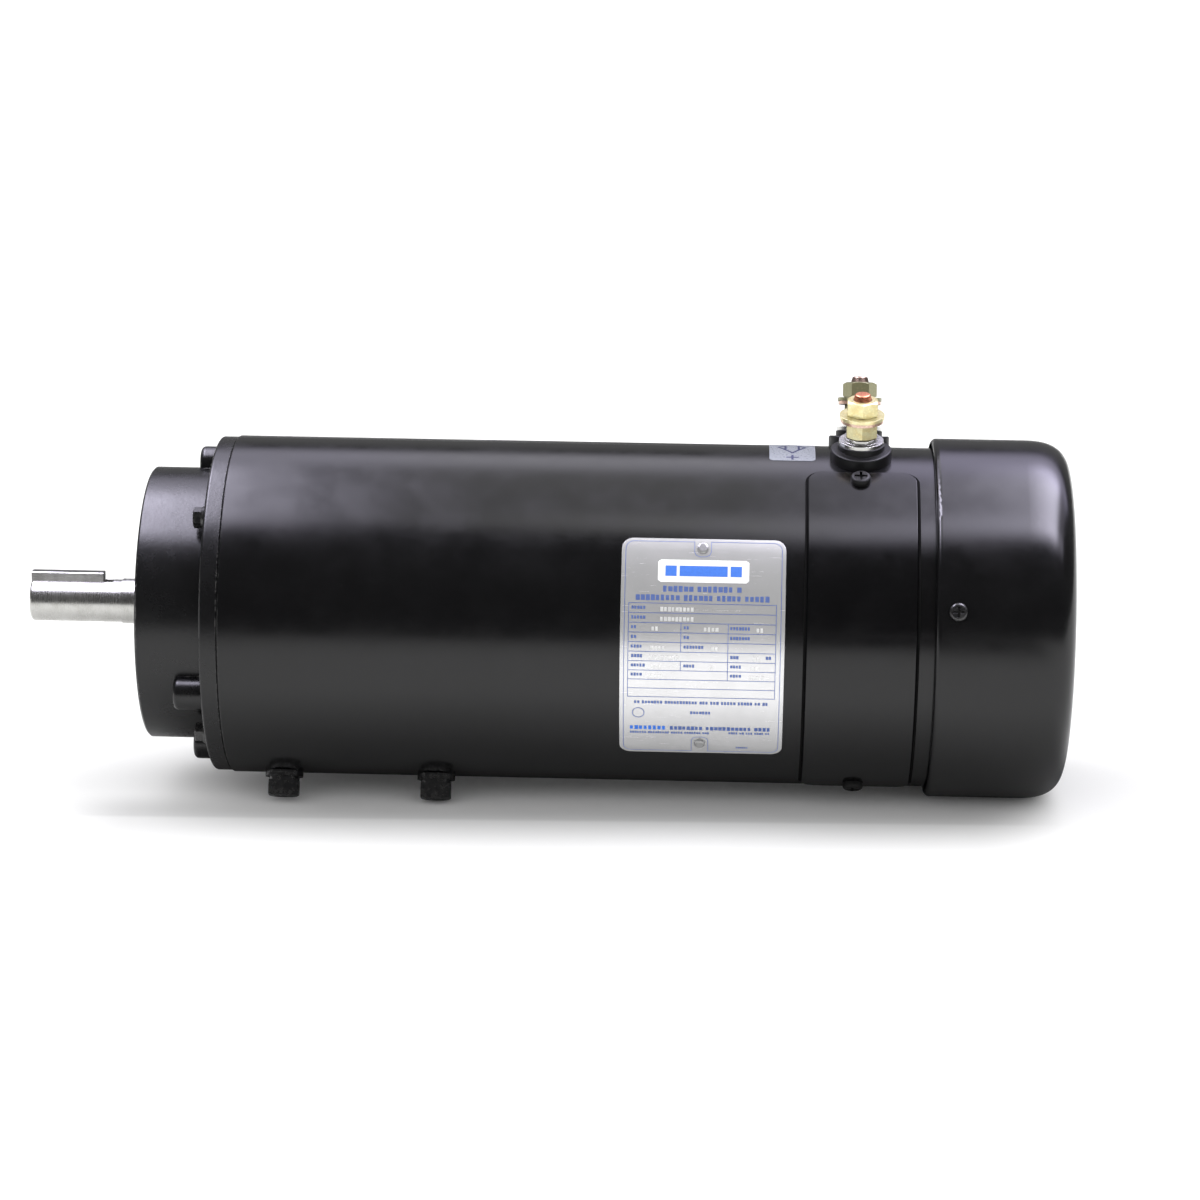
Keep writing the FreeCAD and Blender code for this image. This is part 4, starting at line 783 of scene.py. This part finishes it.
def add_world():
    """White to the camera, soft light from the front for matt surfaces, dark in reflections."""
    world = bpy.data.worlds.new("studio")
    world.use_nodes = True
    tree = world.node_tree
    tree.nodes.clear()
    output = tree.nodes.new("ShaderNodeOutputWorld")
    path = tree.nodes.new("ShaderNodeLightPath")
    coords = tree.nodes.new("ShaderNodeTexCoord")
    split = tree.nodes.new("ShaderNodeSeparateXYZ")
    tree.links.new(coords.outputs["Generated"], split.inputs[0])
    share = tree.nodes.new("ShaderNodeMath")
    share.operation = "MULTIPLY_ADD"
    share.inputs[1].default_value = 0.5
    share.inputs[2].default_value = 0.5
    tree.links.new(split.outputs["Y"], share.inputs[0])

    def background(colour, strength):
        node = tree.nodes.new("ShaderNodeBackground")
        node.inputs["Strength"].default_value = strength
        if isinstance(colour, bpy.types.NodeSocket):
            tree.links.new(colour, node.inputs["Color"])
        else:
            node.inputs["Color"].default_value = (colour, colour, colour, 1.0)
        return node.outputs[0]

    def choose(ray, other, chosen):
        node = tree.nodes.new("ShaderNodeMixShader")
        tree.links.new(path.outputs[ray], node.inputs["Fac"])
        tree.links.new(other, node.inputs[1])
        tree.links.new(chosen, node.inputs[2])
        return node.outputs[0]

    soft = background(ramp(tree, share.outputs[0], AMBIENT_STOPS), AMBIENT)
    room = background(ramp(tree, share.outputs[0], ROOM_STOPS), 1.0)
    shader = choose("Is Glossy Ray", soft, room)
    shader = choose("Is Camera Ray", shader, background(1.0, 1.0))
    tree.links.new(shader, output.inputs["Surface"])
    bpy.context.scene.world = world


def softbox_radiance(x, lift):
    """Brightness of the overhead softbox at a place along the motor and a lift above the front."""
    even = EVEN_LEVEL + EVEN_RISE * smooth(x, *EVEN_RISE_X) + BACK_RISE * smooth(lift, *BACK_LIFT)
    left = LEFT_LEVEL * min(1.0, math.exp((LEFT_X - x) / LEFT_FALL))
    left *= smooth(lift, *LEFT_LIFT) * smooth(x, *LEFT_END_X)
    right_most = RIGHT_LEVEL + RIGHT_RISE * smooth(x, *RIGHT_RISE_X)
    right = min(right_most, RIGHT_START * math.exp((x - RIGHT_X) / RIGHT_GROWTH))
    right *= smooth(lift, *RIGHT_LIFT) * smooth(x, *RIGHT_END_X)
    front = FRONT_LEVEL * smooth(x, *FRONT_X) * smooth(lift, *FRONT_LIFT)
    near = front_edge(x)
    edges = smooth(lift, near, near + FRONT_BLUR) * smooth(lift, *BACK_EDGE_LIFT)
    level = (even + left + right + front) * edges
    cool = smooth(x, *COOL_LEFT_X) + smooth(x, *COOL_RIGHT_X)
    cool += COOL_BACK * smooth(x, *COOL_LEFT_X[::-1]) * smooth(lift, *COOL_BACK_LIFT)
    return [level * (1.0 + cool * shift) for shift in COOL_SHIFT] + [1.0]


def front_edge(x):
    """Lift of the softbox's front edge, which dips over the terminals and rises over the shaft."""
    dip = DIP_DEPTH * math.exp(-((x - DIP_X) / DIP_REACH) ** 2)
    return SOFTBOX_LIFT[0] - dip + SHAFT_RISE * smooth(x, *SHAFT_RISE_X)


def smooth(value, start, end):
    """0 at start, 1 at end, eased; start may be the larger."""
    t = min(1.0, max(0.0, (value - start) / (end - start)))
    return t * t * (3 - 2 * t)


def add_softbox():
    """Curved sheet of light over the motor, brighter at both ends, seen only in reflections."""
    columns, rows = SOFTBOX_GRID
    data = bpy.data.meshes.new("softbox")
    places = []
    for i in range(columns + 1):
        x = SOFTBOX_X[0] + (SOFTBOX_X[1] - SOFTBOX_X[0]) * i / columns
        near = front_edge(x)
        for j in range(rows + 1):
            places.append((x, near + (SOFTBOX_LIFT[1] - near) * j / rows))
    points = []
    for x, lift in places:
        a = math.radians(lift)
        points.append((x, -SOFTBOX_RADIUS * math.cos(a), SOFTBOX_RADIUS * math.sin(a)))
    faces = []
    for i in range(columns):
        for j in range(rows):
            this = i * (rows + 1) + j
            beyond = this + rows + 1
            faces.append((this, this + 1, beyond + 1, beyond))
    data.from_pydata(points, [], faces)
    radiance = data.attributes.new("radiance", "FLOAT_COLOR", "POINT")
    radiance.data.foreach_set("color", [c for place in places for c in softbox_radiance(*place)])
    material = bpy.data.materials.new("softbox_light")
    material.use_nodes = True
    tree = material.node_tree
    tree.nodes.clear()
    level = tree.nodes.new("ShaderNodeAttribute")
    level.attribute_name = "radiance"
    glow = tree.nodes.new("ShaderNodeEmission")
    tree.links.new(level.outputs["Color"], glow.inputs["Color"])
    output = tree.nodes.new("ShaderNodeOutputMaterial")
    tree.links.new(glow.outputs[0], output.inputs["Surface"])
    data.materials.append(material)
    item = bpy.data.objects.new("softbox", data)
    bpy.context.scene.collection.objects.link(item)
    item.visible_camera = False
    item.visible_diffuse = False
    item.visible_shadow = False


add_camera()
add_floor()
add_world()
add_softbox()

bpy.context.scene.view_settings.view_transform = "Standard"
bpy.context.scene.view_settings.look = "None"
bpy.context.scene.view_settings.exposure = 0.0
bpy.context.scene.view_settings.gamma = 1.0
